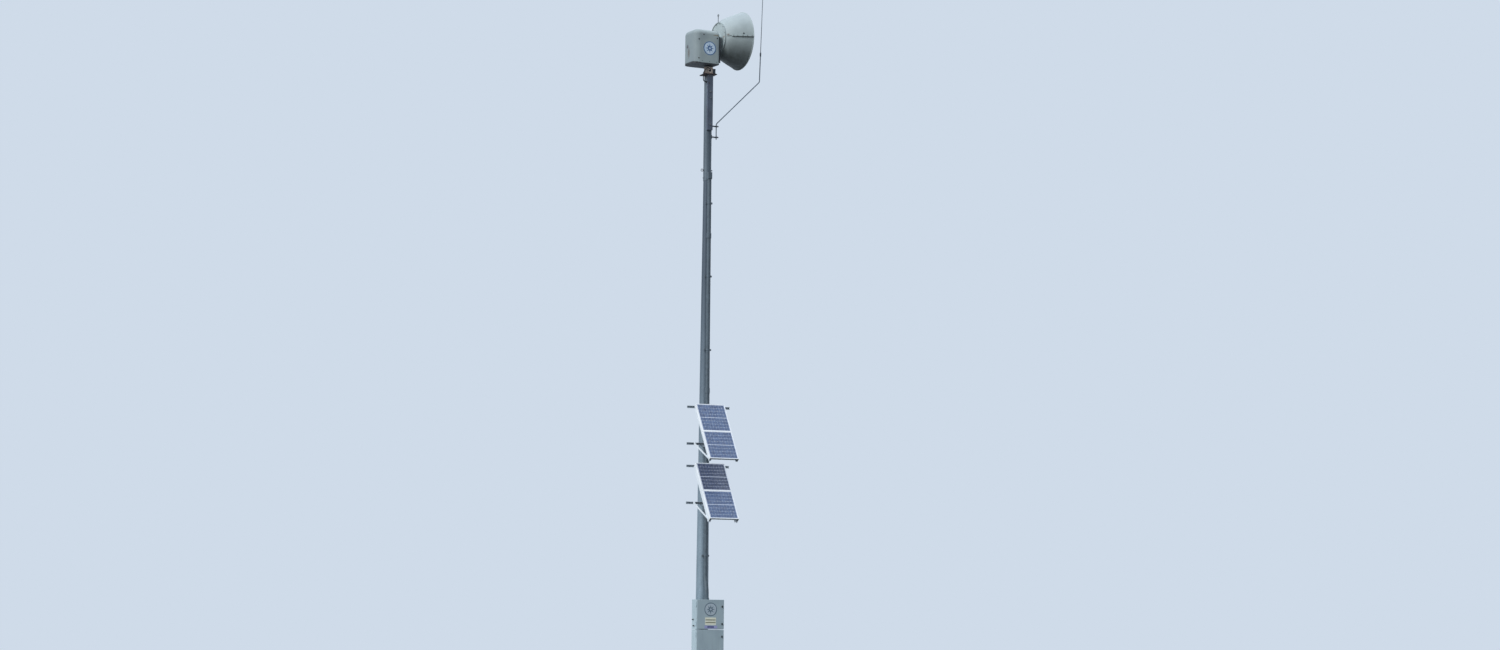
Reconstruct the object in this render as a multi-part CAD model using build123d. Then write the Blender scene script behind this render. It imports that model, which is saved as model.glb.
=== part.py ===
from build123d import *
import os
from math import atan2, cos, degrees, hypot, pi, radians, sin, sqrt, tan

# A warning siren on a round steel pole. Millimetres, +Z up, and the origin is the centre of the
# base flange's lower face. The cabinets and the solar panels face -Y, and the horn points about +X.

# Clearances
fit_gap = 0.3          # between round faces that seat on each other
hinge_gap = 0.35       # radial, a knuckle on its pin
turn_gap = 5.0         # between the fixed head bearing and what turns above it
bolt_clearance = 1.0   # radial, a U-bolt's leg in its hole
shaft_clearance = 3.0  # radial, the drive shaft in the horn's back plate
cut_past = 1.0         # how far a cut runs past the face it opens

# Base flange and anchor holes
flange_side = 460.0
flange_thick = 32.0
anchor_spacing = 340.0
anchor_hole_d = 33.0
flange_corner_r = 24.0

# Tapered lower pole, and the straight tube that slips over its top
pole_base_od = 243.0
pole_joint_od = 133.0
pole_wall = 5.0
joint_height = 9310.0
joint_lap = 150.0
upper_wall = 4.2
upper_length = 1898.0

# Eye bolt through the upper tube, above the lap
eye_rise = 40.0        # above the top of the spigot
eye_shank_d = 16.0
eye_ring_r = 20.0
eye_wire_d = 11.0
eye_collar_d = 28.0
eye_collar_length = 8.0
eye_nut_across = 24.0
eye_nut_thick = 13.0
eye_tail = 26.0

# Siren bracket channel on the front of the upper tube
channel_width = 100.0
channel_depth = 52.0
channel_wall = 6.0
channel_length = 998.0
bolt_rises = (100.0, 580.0, 690.0)  # above the channel's lower end
bolt_d = 16.0
bolt_head_d = 30.0
bolt_head_thick = 12.0
bolt_tail = 30.0

# Mounting plate and head bearing
plate_side = 240.0
plate_thick = 14.0
bearing_od = 160.0
bearing_foot_od = 188.0
bearing_foot_thick = 14.0
bearing_height = 128.0
bearing_neck = 8.0             # how far the plain drum stands in from the bands
bearing_cap_height = 26.0
bearing_band_height = 50.0
bearing_rib_count = 12
bearing_rib_thick = 8.0
bearing_rib_height = 34.0
bearing_rib_setback = 14.0     # from the foot ring's edge
turntable_od = 124.0
turntable_thick = 17.0
spindle_r = 40.0
spindle_length = 52.0
drive_depth = 42.0
drive_width = 84.0
drive_height = 90.0
drive_wrap = 20.0              # how far its sides reach round the drum
drive_corner_r = 10.0

# Flexible conduit from the upper tube to the head bearing
flex_od = 18.0
flex_azimuth = -53.0           # from -Y towards +X, seen from above
flex_reach = 170.0             # from the pole's axis, past the plate's corner
flex_exit_drop = 128.0
flex_shoulder_rise = 10.0      # where it starts to lean over the plate
flex_arch = (-64.0, -142.0, 113.0)    # top of the arch, above the plate
flex_drop_reach = 138.0               # in front of the pole's axis, where it turns back to the bearing
flex_entry_rise = 58.0
flex_radii = (45.0, 45.0, 28.0, 26.0)

# Siren housing, in the head's own frame: the horn points along +X
head_rest_yaw = 5.7
cover_back = 397.0
cover_front = 107.0
cover_width = 460.0
cover_height = 605.0
cover_wall = 5.0
cover_back_corner_r = 120.0
cover_front_corner_r = 45.0
cover_top_r = 90.0
pan_thick = 8.0

# Horn
horn_axis_rise = 518.0         # above the chassis pan
back_plate_reach = 78.0        # in front of the housing
back_plate_thick = 12.0
back_plate_r = 292.0
back_rim_depth = 10.0
back_rim_width = 10.0
horn_wall = 5.0
horn_depth = 433.0
horn_mouth_r = 516.0
horn_flare = 0.72              # power of the flare: under 1 opens fast near the back plate
horn_stations = (0.0, 0.16, 0.40, 0.70, 1.0)   # shares of the depth that the curve runs through
horn_lip_r = 9.0
horn_seat_width = 30.0
horn_flange_start = 75.0
horn_flange_width = 24.0
horn_flange_thick = 6.0
neck_width = 250.0
neck_height = 275.0
neck_rise = 260.0              # above the housing's lower edge
neck_wall = 8.0
neck_corner_r = 30.0

# Sound chopper in the horn's throat
stator_r = 112.0
stator_wall = 8.0
stator_length = 96.0
stator_cap_thick = 6.0
port_count = 10
port_share = 0.55              # of each bay round the drum
port_land = 0.2                # share of the drum's length left solid at each end
rotor_gap = 4.0
rotor_wall = 5.0
rotor_disc_thick = 6.0
shaft_r = 14.0
shaft_nose = 30.0

# Lifting eye on the horn's back plate
lift_eye_r = 18.0
lift_wire_d = 13.0
lift_stem = 110.0
lift_foot_r = 10.0
lift_foot_height = 8.0
lift_foot_wrap = 6.0           # how far the foot follows the plate's edge down

# Antenna bracket, mast and whip
antenna_arm_drops = (1103.0, 908.0)   # below the top of the upper tube
antenna_arm_reach = 200.0
antenna_pin_reach = 163.0
antenna_arm_width = 38.0
antenna_arm_thick = 18.0
antenna_saddle_angle = 36.0
antenna_saddle_height = 60.0
antenna_saddle_thick = 6.0
antenna_clamp_side = 38.0
antenna_clamp_thick = 24.0
mast_d = 18.0
mast_below = 40.0
mast_bend_rise = 45.0          # above the upper arm
mast_run_rise = 824.0          # of the sloping run
mast_run_reach = 824.0
mast_bend_r = 60.0
mast_top_rise = 470.0          # above the upper bend
mast_lean = 1.8                # degrees outwards, above the upper bend
whip_d = 12.0
whip_length = 1490.0
ferrule_d = 28.0
ferrule_length = 70.0
ferrule_chamfer = 6.0

# Main conduit up the front of the pole
conduit_od = 73.0
conduit_wall = 5.0
conduit_pole_gap = 6.0
conduit_bend_r = 400.0
conduit_offset_rise = 150.0    # above the upper cabinet
conduit_offset_length = 240.0
conduit_top_rise = 20.0        # above the slip joint
hub_od = 88.0
hub_height = 34.0
hub_chamfer = 5.0
elbow_width = 86.0
elbow_height = 120.0
elbow_depth = 86.0
elbow_corner_r = 22.0
elbow_branch_d = 60.0
elbow_branch_rise = 74.0
elbow_cover_margin = 8.0
elbow_cover_thick = 4.0
elbow_cover_corner_r = 12.0

# Straps that hold the conduit
strap_first_rise = 370.0       # above the conduit's offset
strap_top_drop = 410.0         # below the slip joint
strap_spacing = 1300.0
strap_upper_count = 3
strap_height = 30.0
strap_thick = 4.0
strap_ear = 24.0
strap_bar_setback = 4.0        # of the bar's front behind the conduit's axis
strap_bar_lap = 2.0            # of the bar's back behind the conduit
strap_foot_width = 52.0

# Slotted strut channel, used for the arms and the rails
strut_width = 41.0
strut_gauge = 2.5
strut_mouth = 22.0
arm_depth = 21.0
rail_depth = 41.0

# Solar panels
panel_low_level = 4250.0            # centre height of the lower panel's top arm
panel_spacing = 1030.0
panel_length = 1200.0
panel_width = 540.0
panel_tilt = 35.0
panel_rise = 55.0                   # top edge above the top arm's centre
module_count = 2
frame_depth = 35.0
frame_lip = 11.0
frame_gauge = 2.0
frame_flange = 28.0
mid_bar = 26.0
laminate_thick = 5.0
junction_box = (110.0, 130.0, 24.0)
junction_box_place = 170.0
junction_box_corner_r = 8.0
rail_layers = (1, 2)                # strut channels back to back, behind the upper and lower panel

# Arms that carry the panels
arm_length = 796.0
arm_drop = 640.0
arm_conduit_gap = 2.0
standoff_half_gap = 46.0
standoff_thick = 8.0
standoff_height = 90.0
ubolt_d = 12.0
ubolt_nut_d = 22.0
ubolt_nut_thick = 10.0
ubolt_tail = 14.0
cleat_thick = 6.0
cleat_height = 40.0
cleat_reach = 62.0
cleat_foot = 44.0
strut_bar_width = 32.0
strut_bar_thick = 6.0
strut_bar_low_place = 1150.0        # down the panel from its top edge

# Cabinets on the front of the pole
cabinet_width = 506.0
cabinet_depth = 232.0
cabinet_low = 712.0
lower_cabinet_height = 712.0
cabinet_stack_gap = 8.0
upper_cabinet_height = 508.0
cabinet_wall = 3.0
cabinet_lip = 22.0
door_depth = 22.0
door_sheet = 2.5
door_gap = 5.0
door_margin = 2.0
door_edge_r = 4.0
door_leaf_depth = 12.0
door_leaf_lap = 2.0
cabinet_rail_length = 470.0
cabinet_rail_inset = 80.0
saddle_width = 130.0
saddle_height = 64.0
saddle_least = 6.0

# Door hinges and latches
hinge_offset = 7.0
hinge_pin_d = 8.0
knuckle_r = 7.0
knuckle_height = 26.0
knuckle_space = 1.0
knuckle_room = 2.0
hinge_inset = 90.0
leaf_thick = 3.0
leaf_reach = 42.0
latch_inset = 36.0
latch_r = 13.0
latch_height = 9.0
latch_wing = (9.0, 12.0, 40.0)
latch_wing_r = 3.0
latch_top_inset = 120.0
latch_low_inset = 90.0

# Cable glands in the cabinet's left side
gland_places = ((72.0, 165.0), (109.0, 56.0))   # in front of the cabinet's back, above its floor
gland_hex = 24.0
gland_hex_length = 10.0
gland_cap_d = 20.0
gland_cap_length = 16.0

# Sizes that follow from the ones above
upper_od = pole_joint_od + 2 * fit_gap + 2 * upper_wall
upper_top = joint_height + upper_length
spigot_top = joint_height + joint_lap
eye_height = spigot_top + eye_rise
channel_low = upper_top - channel_length
bolt_heights = [channel_low + rise for rise in bolt_rises]
plate_top = upper_top + plate_thick
bearing_top = plate_top + bearing_height
pan_low = bearing_top + turn_gap + turntable_thick
cover_low = pan_low + pan_thick
horn_axis_height = pan_low + horn_axis_rise
back_plate_start = cover_front + back_plate_reach
horn_start = back_plate_start + back_plate_thick
antenna_arm_heights = [upper_top - drop for drop in antenna_arm_drops]
mast_bend_height = max(antenna_arm_heights) + mast_bend_rise
mast_top_bend_height = mast_bend_height + mast_run_rise
mast_offset = antenna_pin_reach + mast_run_reach
mast_top = mast_top_bend_height + mast_top_rise
mast_top_offset = mast_offset + mast_top_rise * tan(radians(mast_lean))
upper_cabinet_low = cabinet_low + lower_cabinet_height + cabinet_stack_gap
upper_cabinet_top = upper_cabinet_low + upper_cabinet_height
cabinet_spans = [(upper_cabinet_low, upper_cabinet_top), (cabinet_low, cabinet_low + lower_cabinet_height)]
conduit_offset_low = upper_cabinet_top + conduit_offset_rise
conduit_offset_high = conduit_offset_low + conduit_offset_length
conduit_top = joint_height + conduit_top_rise
panel_levels = [panel_low_level + panel_spacing, panel_low_level]


def pole_radius(z):
    """Outside radius of the tapered lower pole at a height."""
    return pole_base_od / 2 - (pole_base_od - pole_joint_od) / 2 * z / joint_height


def pole_form(grow, z_low, z_high):
    """A stretch of the lower pole's outside, grown by an amount all round."""
    cone = Cone(
        pole_radius(z_low) + grow,
        pole_radius(z_high) + grow,
        z_high - z_low,
        align=(Align.CENTER, Align.CENTER, Align.MIN),
    )
    return Pos(0, 0, z_low) * cone


def upright(radius, z_low, z_high, x=0.0, y=0.0):
    """A vertical cylinder between two heights."""
    post = Cylinder(radius, z_high - z_low, align=(Align.CENTER, Align.CENTER, Align.MIN))
    return Pos(x, y, z_low) * post


def block(x, y, z):
    """A box from its low and high ends along each axis."""
    size = [high - low for low, high in (x, y, z)]
    return Pos(*[(low + high) / 2 for low, high in (x, y, z)]) * Box(*size)


def rod_y(radius, y_low, y_high, x, z):
    """A cylinder along Y."""
    rod = Rot(90, 0, 0) * Cylinder(radius, y_high - y_low)
    return Pos(x, (y_low + y_high) / 2, z) * rod


def rod_x(radius, x_low, x_high, y, z):
    """A cylinder along X."""
    rod = Rot(0, 90, 0) * Cylinder(radius, x_high - x_low)
    return Pos((x_low + x_high) / 2, y, z) * rod


def hex_nut(across, thick, plane):
    """A hexagon with its flats that far apart, grown from a plane along its normal."""
    return extrude(plane * RegularPolygon(across / 2, 6, major_radius=False), thick)


def pipe(points, radii, outer_r, bore_r=0.0):
    """A round tube, or a rod where the bore is zero, along straight runs and arcs."""
    path = FilletPolyline(*points, radius=radii)
    start = Plane(origin=path @ 0, z_dir=path % 0)
    section = Circle(outer_r)
    if bore_r > 0:
        section -= Circle(bore_r)
    return sweep(start * section, path)


# Pole


def base_flange():
    plate = RectangleRounded(flange_side, flange_side, flange_corner_r)
    plate -= GridLocations(anchor_spacing, anchor_spacing, 2, 2) * Circle(anchor_hole_d / 2)
    return extrude(plate, flange_thick)


def pole_lower():
    """Tapered shaft on the flange, with a straight spigot inside the upper tube."""
    outside = pole_form(0, flange_thick, joint_height)
    outside += upright(pole_joint_od / 2, joint_height, spigot_top)
    inside = pole_form(-pole_wall, flange_thick, joint_height)
    inside += upright(pole_joint_od / 2 - pole_wall, joint_height, spigot_top)
    return outside - inside


def pole_upper():
    tube = upright(upper_od / 2, joint_height, upper_top)
    tube -= upright(upper_od / 2 - upper_wall, joint_height, upper_top)
    for z in bolt_heights:
        tube -= rod_y(bolt_d / 2 + fit_gap, -upper_od, upper_od, 0, z)
    tube -= rod_x(eye_shank_d / 2 + fit_gap, -upper_od, upper_od, 0, eye_height)
    return tube


def eye_bolt():
    """Eye on the pole's left side, on a shank that runs through to a nut."""
    side = upper_od / 2 + fit_gap
    end = side + eye_collar_length
    shank = rod_x(eye_shank_d / 2, -end, side + eye_tail, 0, eye_height)
    collar = rod_x(eye_collar_d / 2, -end, -side, 0, eye_height)
    nut = Pos(side, 0, eye_height) * hex_nut(eye_nut_across, eye_nut_thick, Plane.YZ)
    ring = Rot(90, 0, 0) * Torus(eye_ring_r, eye_wire_d / 2)
    return shank + collar + nut + Pos(-end - eye_ring_r, 0, eye_height) * ring


# Siren bracket, plate and bearing


def channel_back():
    """Distance from the pole's axis to the tips of the channel's flanges."""
    half = channel_width / 2
    return sqrt((upper_od / 2 + fit_gap) ** 2 - (half - channel_wall) ** 2)


def siren_channel():
    tips = channel_back()
    web = tips + channel_depth
    half = channel_width / 2
    shape = block((-half, half), (-web, -tips), (channel_low, upper_top))
    hollow = half - channel_wall
    shape -= block((-hollow, hollow), (-web + channel_wall, 0), (channel_low, upper_top))
    for z in bolt_heights:
        shape -= rod_y(bolt_d / 2 + fit_gap, -web - cut_past, -tips, 0, z)
    return shape


def channel_bolts():
    web = channel_back() + channel_depth
    back = upper_od / 2 + fit_gap
    bolts = []
    for z in bolt_heights:
        bolt = rod_y(bolt_d / 2, -web - bolt_head_thick, back + bolt_tail, 0, z)
        bolt += Pos(0, -web, z) * hex_nut(bolt_head_d, bolt_head_thick, Plane.XZ)
        bolt += Pos(0, back + bolt_head_thick, z) * hex_nut(bolt_head_d, bolt_head_thick, Plane.XZ)
        bolts.append(bolt)
    return bolts


def flex_points():
    """Route of the flexible conduit: out of the tube, up past the plate's corner and into the bearing."""
    aim = radians(flex_azimuth)
    side = upper_od / 2 + fit_gap
    exit_z = upper_top - flex_exit_drop
    near = (side * sin(aim), -side * cos(aim))
    out = (flex_reach * sin(aim), -flex_reach * cos(aim))
    arch_x, arch_y, arch_rise = flex_arch
    entry_z = plate_top + flex_entry_rise
    return [
        (*near, exit_z),
        (*out, exit_z),
        (*out, plate_top + flex_shoulder_rise),
        (arch_x, arch_y, plate_top + arch_rise),
        (0, -flex_drop_reach, entry_z),
        (0, -bearing_od / 2 - fit_gap, entry_z),
    ]


def flex_conduit():
    return pipe(flex_points(), list(flex_radii), flex_od / 2)


def mounting_plate():
    half = plate_side / 2
    return block((-half, half), (-half, half), (upper_top, plate_top))


def rotator_base():
    """Cast bearing housing: a foot ring, a ribbed drum and the bore that carries the head."""
    rib_top = plate_top + bearing_rib_height
    body = upright(bearing_foot_od / 2, plate_top, plate_top + bearing_foot_thick)
    body += upright(bearing_od / 2 - bearing_neck, plate_top, bearing_top)
    body += upright(bearing_od / 2, bearing_top - bearing_cap_height, bearing_top)
    body += upright(bearing_od / 2, rib_top, rib_top + bearing_band_height)
    rib = block(
        (0, bearing_foot_od / 2 - bearing_rib_setback),
        (-bearing_rib_thick / 2, bearing_rib_thick / 2),
        (plate_top, rib_top),
    )
    for turn in range(bearing_rib_count):
        body += Rot(0, 0, turn * 360 / bearing_rib_count) * rib
    bore_low = bearing_top - spindle_length - fit_gap + turn_gap
    body -= upright(spindle_r + fit_gap, bore_low, bearing_top)
    return body


def drive_gearbox():
    """Drive gearbox on the bearing's right side."""
    inner = bearing_od / 2 + fit_gap
    low = plate_top + bearing_foot_thick
    body = block(
        (inner - drive_wrap, inner + drive_depth),
        (-drive_width / 2, drive_width / 2),
        (low, low + drive_height),
    )
    body = fillet(body.edges().filter_by(Axis.Z).group_by(Axis.X)[-1], drive_corner_r)
    return body - upright(inner, plate_top, low + drive_height)


# Turning head


def turntable():
    low = bearing_top + turn_gap
    disc = upright(turntable_od / 2, low, low + turntable_thick)
    return disc + upright(spindle_r, low - spindle_length, low)


def cover_outline(inset):
    """Plan of the housing, drawn in by an amount."""
    back = cover_back - inset
    front = cover_front - inset
    plan = Pos((front - back) / 2, 0) * Rectangle(front + back, cover_width - 2 * inset)
    corners = plan.vertices().group_by(Axis.X)
    plan = fillet(corners[0], cover_back_corner_r - inset)
    corners = plan.vertices().group_by(Axis.X)
    return fillet(corners[-1], cover_front_corner_r - inset)


def cover_block(inset):
    form = extrude(cover_outline(inset), cover_height - inset)
    return fillet(form.faces().sort_by(Axis.Z)[-1].edges(), cover_top_r - inset)


def chassis_pan():
    return Pos(0, 0, pan_low) * extrude(cover_outline(0), pan_thick)


def housing_cover():
    shell = cover_block(0) - cover_block(cover_wall)
    return Pos(0, 0, cover_low) * shell


def horn_neck():
    """Duct between the housing and the horn's back plate."""
    outline = RectangleRounded(neck_width, neck_height, neck_corner_r)
    outline -= offset(outline, -neck_wall)
    duct = extrude(Plane.YZ * outline, back_plate_reach)
    return Pos(cover_front, 0, cover_low + neck_rise + neck_height / 2) * duct


def horn_back_plate():
    rim_end = back_plate_start - back_rim_depth
    plate = rod_x(back_plate_r, rim_end, horn_start, 0, horn_axis_height)
    plate -= rod_x(back_plate_r - back_rim_width, rim_end, back_plate_start, 0, horn_axis_height)
    return plate - rod_x(shaft_r + shaft_clearance, rim_end, horn_start, 0, horn_axis_height)


def horn_curve(grow):
    """The horn's outside line in the XZ plane, from the back plate to the mouth."""
    start, flare = back_plate_r + grow, horn_mouth_r - back_plate_r
    return Spline(*[(share * horn_depth, start + flare * share**horn_flare) for share in horn_stations])


def horn_half():
    """Upper half-shell of the horn at the origin, with its rolled lip and bolting flanges."""
    outer, inner = horn_curve(0), horn_curve(-horn_wall)
    wall = make_face(Curve() + outer + inner + Line(outer @ 0, inner @ 0) + Line(outer @ 1, inner @ 1))
    seat = Pos(horn_wall / 2, back_plate_r - horn_seat_width / 2) * Rectangle(horn_wall, horn_seat_width)
    lip = Pos(horn_depth, horn_mouth_r - horn_wall / 2) * Circle(horn_lip_r)
    shell = Rot(-90, 0, 0) * revolve(Plane.XZ * (wall + seat + lip), Axis.X, 180)
    low, high = horn_curve(-horn_wall / 2), horn_curve(horn_flange_width)
    ear = make_face(Curve() + low + high + Line(low @ 0, high @ 0) + Line(low @ 1, high @ 1))
    ear -= Pos(horn_flange_start / 2, 0) * Rectangle(horn_flange_start, 4 * horn_mouth_r)
    ear = extrude(ear, horn_flange_thick)
    return shell + ear + mirror(ear, Plane.XZ)


def horn_shell(turn):
    """One half-shell in place: the lower one is the upper one turned over."""
    return Pos(horn_start, 0, horn_axis_height) * Rot(turn, 0, 0) * horn_half()


def ported_ring(radius, wall, length, ports):
    """A drum wall with equal ports round it, along +X from the origin."""
    ring = rod_x(radius, 0, length, 0, 0) - rod_x(radius - wall, 0, length, 0, 0)
    port = 2 * radius * sin(pi / ports * port_share)
    window = (length * port_land, length * (1 - port_land))
    for turn in range(ports):
        cut = block(window, (-port / 2, port / 2), (radius - 2 * wall, radius + wall))
        ring -= Rot(turn * 360 / ports, 0, 0) * cut
    return ring


def throat_stator():
    ring = ported_ring(stator_r, stator_wall, stator_length, port_count)
    cap = rod_x(stator_r, stator_length, stator_length + stator_cap_thick, 0, 0)
    return Pos(horn_start, 0, horn_axis_height) * (ring + cap)


def chopper_rotor():
    """Ported drum on the drive shaft, inside the stator."""
    radius = stator_r - stator_wall - rotor_gap
    start = rotor_gap
    length = stator_length - 2 * rotor_gap
    drum = Pos(start, 0, 0) * ported_ring(radius, rotor_wall, length, port_count)
    drum += rod_x(radius, start, start + rotor_disc_thick, 0, 0)
    drum += rod_x(shaft_r, cover_front - horn_start + fit_gap, start + shaft_nose, 0, 0)
    return Pos(horn_start, 0, horn_axis_height) * drum


def lifting_eye():
    x = horn_start - (back_plate_thick + back_rim_depth) / 2
    foot = horn_axis_height + back_plate_r
    low = foot - lift_foot_wrap
    ring = Rot(0, 90, 0) * Torus(lift_eye_r, lift_wire_d / 2)
    eye = Pos(x, 0, foot + lift_stem + lift_eye_r) * ring
    eye += upright(lift_wire_d / 2, low, foot + lift_stem, x)
    eye += upright(lift_foot_r, low, foot + lift_foot_height, x)
    return eye - rod_x(back_plate_r + fit_gap, 0, 2 * horn_start, 0, horn_axis_height)


def turned(shape):
    """Turn a piece of the head to its rest direction."""
    return Rot(0, 0, head_rest_yaw) * shape


# Antenna


def antenna_bracket():
    """Two arms on curved saddles, each with a clamp round the mast."""
    inner = upper_od / 2 + fit_gap
    arms = []
    for z in antenna_arm_heights:
        half = antenna_saddle_height / 2
        saddle = upright(inner + antenna_saddle_thick, z - half, z + half)
        reach = inner + antenna_saddle_thick
        width = reach * sin(radians(antenna_saddle_angle))
        saddle &= block((0, reach), (-width, width), (z - half, z + half))
        arm = block(
            (inner, antenna_arm_reach),
            (-antenna_arm_width / 2, antenna_arm_width / 2),
            (z - antenna_arm_thick / 2, z + antenna_arm_thick / 2),
        )
        side = antenna_clamp_side / 2
        clamp = block(
            (antenna_pin_reach - side, antenna_pin_reach + side),
            (-side, side),
            (z - antenna_clamp_thick / 2, z + antenna_clamp_thick / 2),
        )
        piece = saddle + arm + clamp
        piece -= upright(inner, z - half, z + half)
        piece -= upright(mast_d / 2 + fit_gap, z - half, z + half, antenna_pin_reach)
        arms.append(piece)
    return arms


def antenna_mast():
    low = min(antenna_arm_heights) - mast_below
    points = [
        (antenna_pin_reach, 0, low),
        (antenna_pin_reach, 0, mast_bend_height),
        (mast_offset, 0, mast_top_bend_height),
        (mast_top_offset, 0, mast_top),
    ]
    return pipe(points, mast_bend_r, mast_d / 2)


def antenna_whip():
    """Rod in its ferrule, in line with the mast's leaning top."""
    base = upright(ferrule_d / 2, 0, ferrule_length)
    base = chamfer(base.edges().group_by(Axis.Z)[-1], ferrule_chamfer)
    rod = upright(whip_d / 2, 0, ferrule_length + whip_length)
    return Pos(mast_top_offset, 0, mast_top) * Rot(0, mast_lean, 0) * (base + rod)


# Main conduit


def conduit_line(z):
    """Distance of the conduit's axis in front of the pole's axis, where it hugs the pole."""
    return pole_radius(z) + conduit_pole_gap + conduit_od / 2


def cabinet_back():
    """Distance from the pole's axis to the cabinets' back."""
    return pole_radius(min(rail_heights())) + fit_gap + saddle_least + strut_width


def hub_place():
    return cabinet_back() + hub_od / 2


def conduit_riser():
    points = [
        (0, -hub_place(), upper_cabinet_top + hub_height),
        (0, -hub_place(), conduit_offset_low),
        (0, -conduit_line(conduit_offset_high), conduit_offset_high),
        (0, -conduit_line(conduit_top), conduit_top - fit_gap),
    ]
    return pipe(points, conduit_bend_r, conduit_od / 2, conduit_od / 2 - conduit_wall)


def conduit_hub():
    hub = upright(hub_od / 2, upper_cabinet_top, upper_cabinet_top + hub_height, 0, -hub_place())
    return chamfer(hub.edges().group_by(Axis.Z)[-1], hub_chamfer)


def conduit_elbow():
    """Cast elbow that turns the conduit into the pole just above the slip joint."""
    centre = conduit_line(conduit_top)
    front = centre + elbow_depth / 2
    body = block(
        (-elbow_width / 2, elbow_width / 2),
        (-front, -front + elbow_depth),
        (conduit_top, conduit_top + elbow_height),
    )
    body = fillet(body.edges().filter_by(Axis.Z), elbow_corner_r)
    body += rod_y(elbow_branch_d / 2, -centre, 0, 0, conduit_top + elbow_branch_rise)
    cover_half = elbow_width / 2 - elbow_cover_margin
    cover = block(
        (-cover_half, cover_half),
        (-front - elbow_cover_thick, -front),
        (conduit_top + elbow_cover_margin, conduit_top + elbow_height - elbow_cover_margin),
    )
    body += fillet(cover.edges().filter_by(Axis.Y), elbow_cover_corner_r)
    return body - upright(upper_od / 2 + fit_gap, joint_height, upper_top)


def strap_heights():
    """One above the offset, one between each panel's arms, and the rest down from the slip joint."""
    between = [level - arm_drop / 2 for level in panel_levels]
    upper = [joint_height - strap_top_drop - n * strap_spacing for n in range(strap_upper_count)]
    return [conduit_offset_high + strap_first_rise, *between, *upper]


def conduit_straps():
    """Straps that hold the conduit off the pole: a saddle block behind and a band in front."""
    straps = []
    for z in strap_heights():
        centre = conduit_line(z)
        low, high = z - strap_height / 2, z + strap_height / 2
        outer = conduit_od / 2 + fit_gap + strap_thick
        band = upright(outer, low, high, 0, -centre)
        width = outer + strap_ear
        bar = block(
            (-width, width),
            (-centre + strap_bar_setback, -centre + conduit_od / 2 + strap_bar_lap),
            (low, high),
        )
        foot = block((-strap_foot_width / 2, strap_foot_width / 2), (-centre, 0), (low, high))
        strap = band + bar + foot
        lean = degrees(atan2(conduit_line(low) - conduit_line(high), high - low))
        bore = Rot(-lean, 0, 0) * Cylinder(conduit_od / 2 + fit_gap, 4 * strap_height)
        strap -= Pos(0, -centre, z) * bore
        straps.append(strap - pole_form(fit_gap, low - cut_past, high + cut_past))
    return straps


# Strut channel


def strut(length, depth):
    """Lipped channel along X: its web lies on y = 0 and its mouth looks along -Y."""
    half = length / 2
    side = strut_width / 2
    inner = side - strut_gauge
    shape = block((-half, half), (-depth, 0), (-side, side))
    shape -= block((-half, half), (-depth + strut_gauge, -strut_gauge), (-inner, inner))
    mouth = strut_mouth / 2
    return shape - block((-half, half), (-depth, -depth + strut_gauge), (-mouth, mouth))


def ubolt(z, radius, tip):
    """U-bolt round the back of the pole, with its two nuts, its legs running to -tip."""
    centre = radius + fit_gap + ubolt_d / 2
    bend = revolve(Plane.XZ * Pos(centre, 0) * Circle(ubolt_d / 2), Axis.Z, 180)
    bolt = Pos(0, 0, z) * bend
    for x in (-centre, centre):
        bolt += rod_y(ubolt_d / 2, -tip, 0, x, z)
        bolt += rod_y(ubolt_nut_d / 2, -tip + ubolt_tail - ubolt_nut_thick, -tip + ubolt_tail, x, z)
    return bolt


def ubolt_hole(back, x, z):
    """Cut for a U-bolt's leg in the web of a strut channel whose back lies that far from the axis."""
    return rod_y(ubolt_d / 2 + bolt_clearance, -back - strut_gauge - cut_past, -back + cut_past, x, z)


# Solar panels


def arm_heights():
    """Centre heights of the four arms."""
    return [z - drop for z in panel_levels for drop in (0, arm_drop)]


def arm_back():
    """Distance from the pole's axis to the arms' backs, clear of the conduit at the lowest arm."""
    lowest = min(arm_heights())
    return conduit_line(lowest) + conduit_od / 2 + arm_conduit_gap


def arm_front():
    return arm_back() + arm_depth


def cross_arms():
    arms = []
    for z in arm_heights():
        arm = Pos(0, -arm_back(), z) * strut(arm_length, arm_depth)
        leg = pole_radius(z) + fit_gap + ubolt_d / 2
        for x in (-leg, leg):
            arm -= ubolt_hole(arm_back(), x, z)
        arms.append(arm)
    return arms


def arm_ubolts():
    tip = arm_back() + strut_gauge + ubolt_tail
    return [ubolt(z, pole_radius(z), tip) for z in arm_heights()]


def arm_standoffs():
    """Plates that hold each arm off the pole, one each side of the conduit."""
    plates = []
    for z in arm_heights():
        low, high = z - standoff_height / 2, z + standoff_height / 2
        for side in (-1, 1):
            x = sorted((side * standoff_half_gap, side * (standoff_half_gap + standoff_thick)))
            plate = block(x, (-arm_back(), 0), (low, high))
            plates.append(plate - pole_form(fit_gap, low - cut_past, high + cut_past))
    return plates


def rails_under(level):
    """Depth of the rails behind a panel."""
    return rail_layers[panel_levels.index(level)] * rail_depth


def panel_plane(level):
    """The panel's front face: origin at its top edge, x down the slope and y along +X."""
    tilt = radians(panel_tilt)
    reach = arm_front() + fit_gap + (frame_depth + rails_under(level)) * cos(tilt)
    return Plane(
        origin=(0, -reach, level + panel_rise),
        x_dir=(0, -sin(tilt), -cos(tilt)),
        z_dir=(0, -cos(tilt), sin(tilt)),
    )


def module_spans():
    """Start and end of each module's window down the slope."""
    inner = panel_length - 2 * frame_lip - (module_count - 1) * mid_bar
    window = inner / module_count
    return [(frame_lip + n * (window + mid_bar), frame_lip + n * (window + mid_bar) + window)
            for n in range(module_count)]


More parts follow.
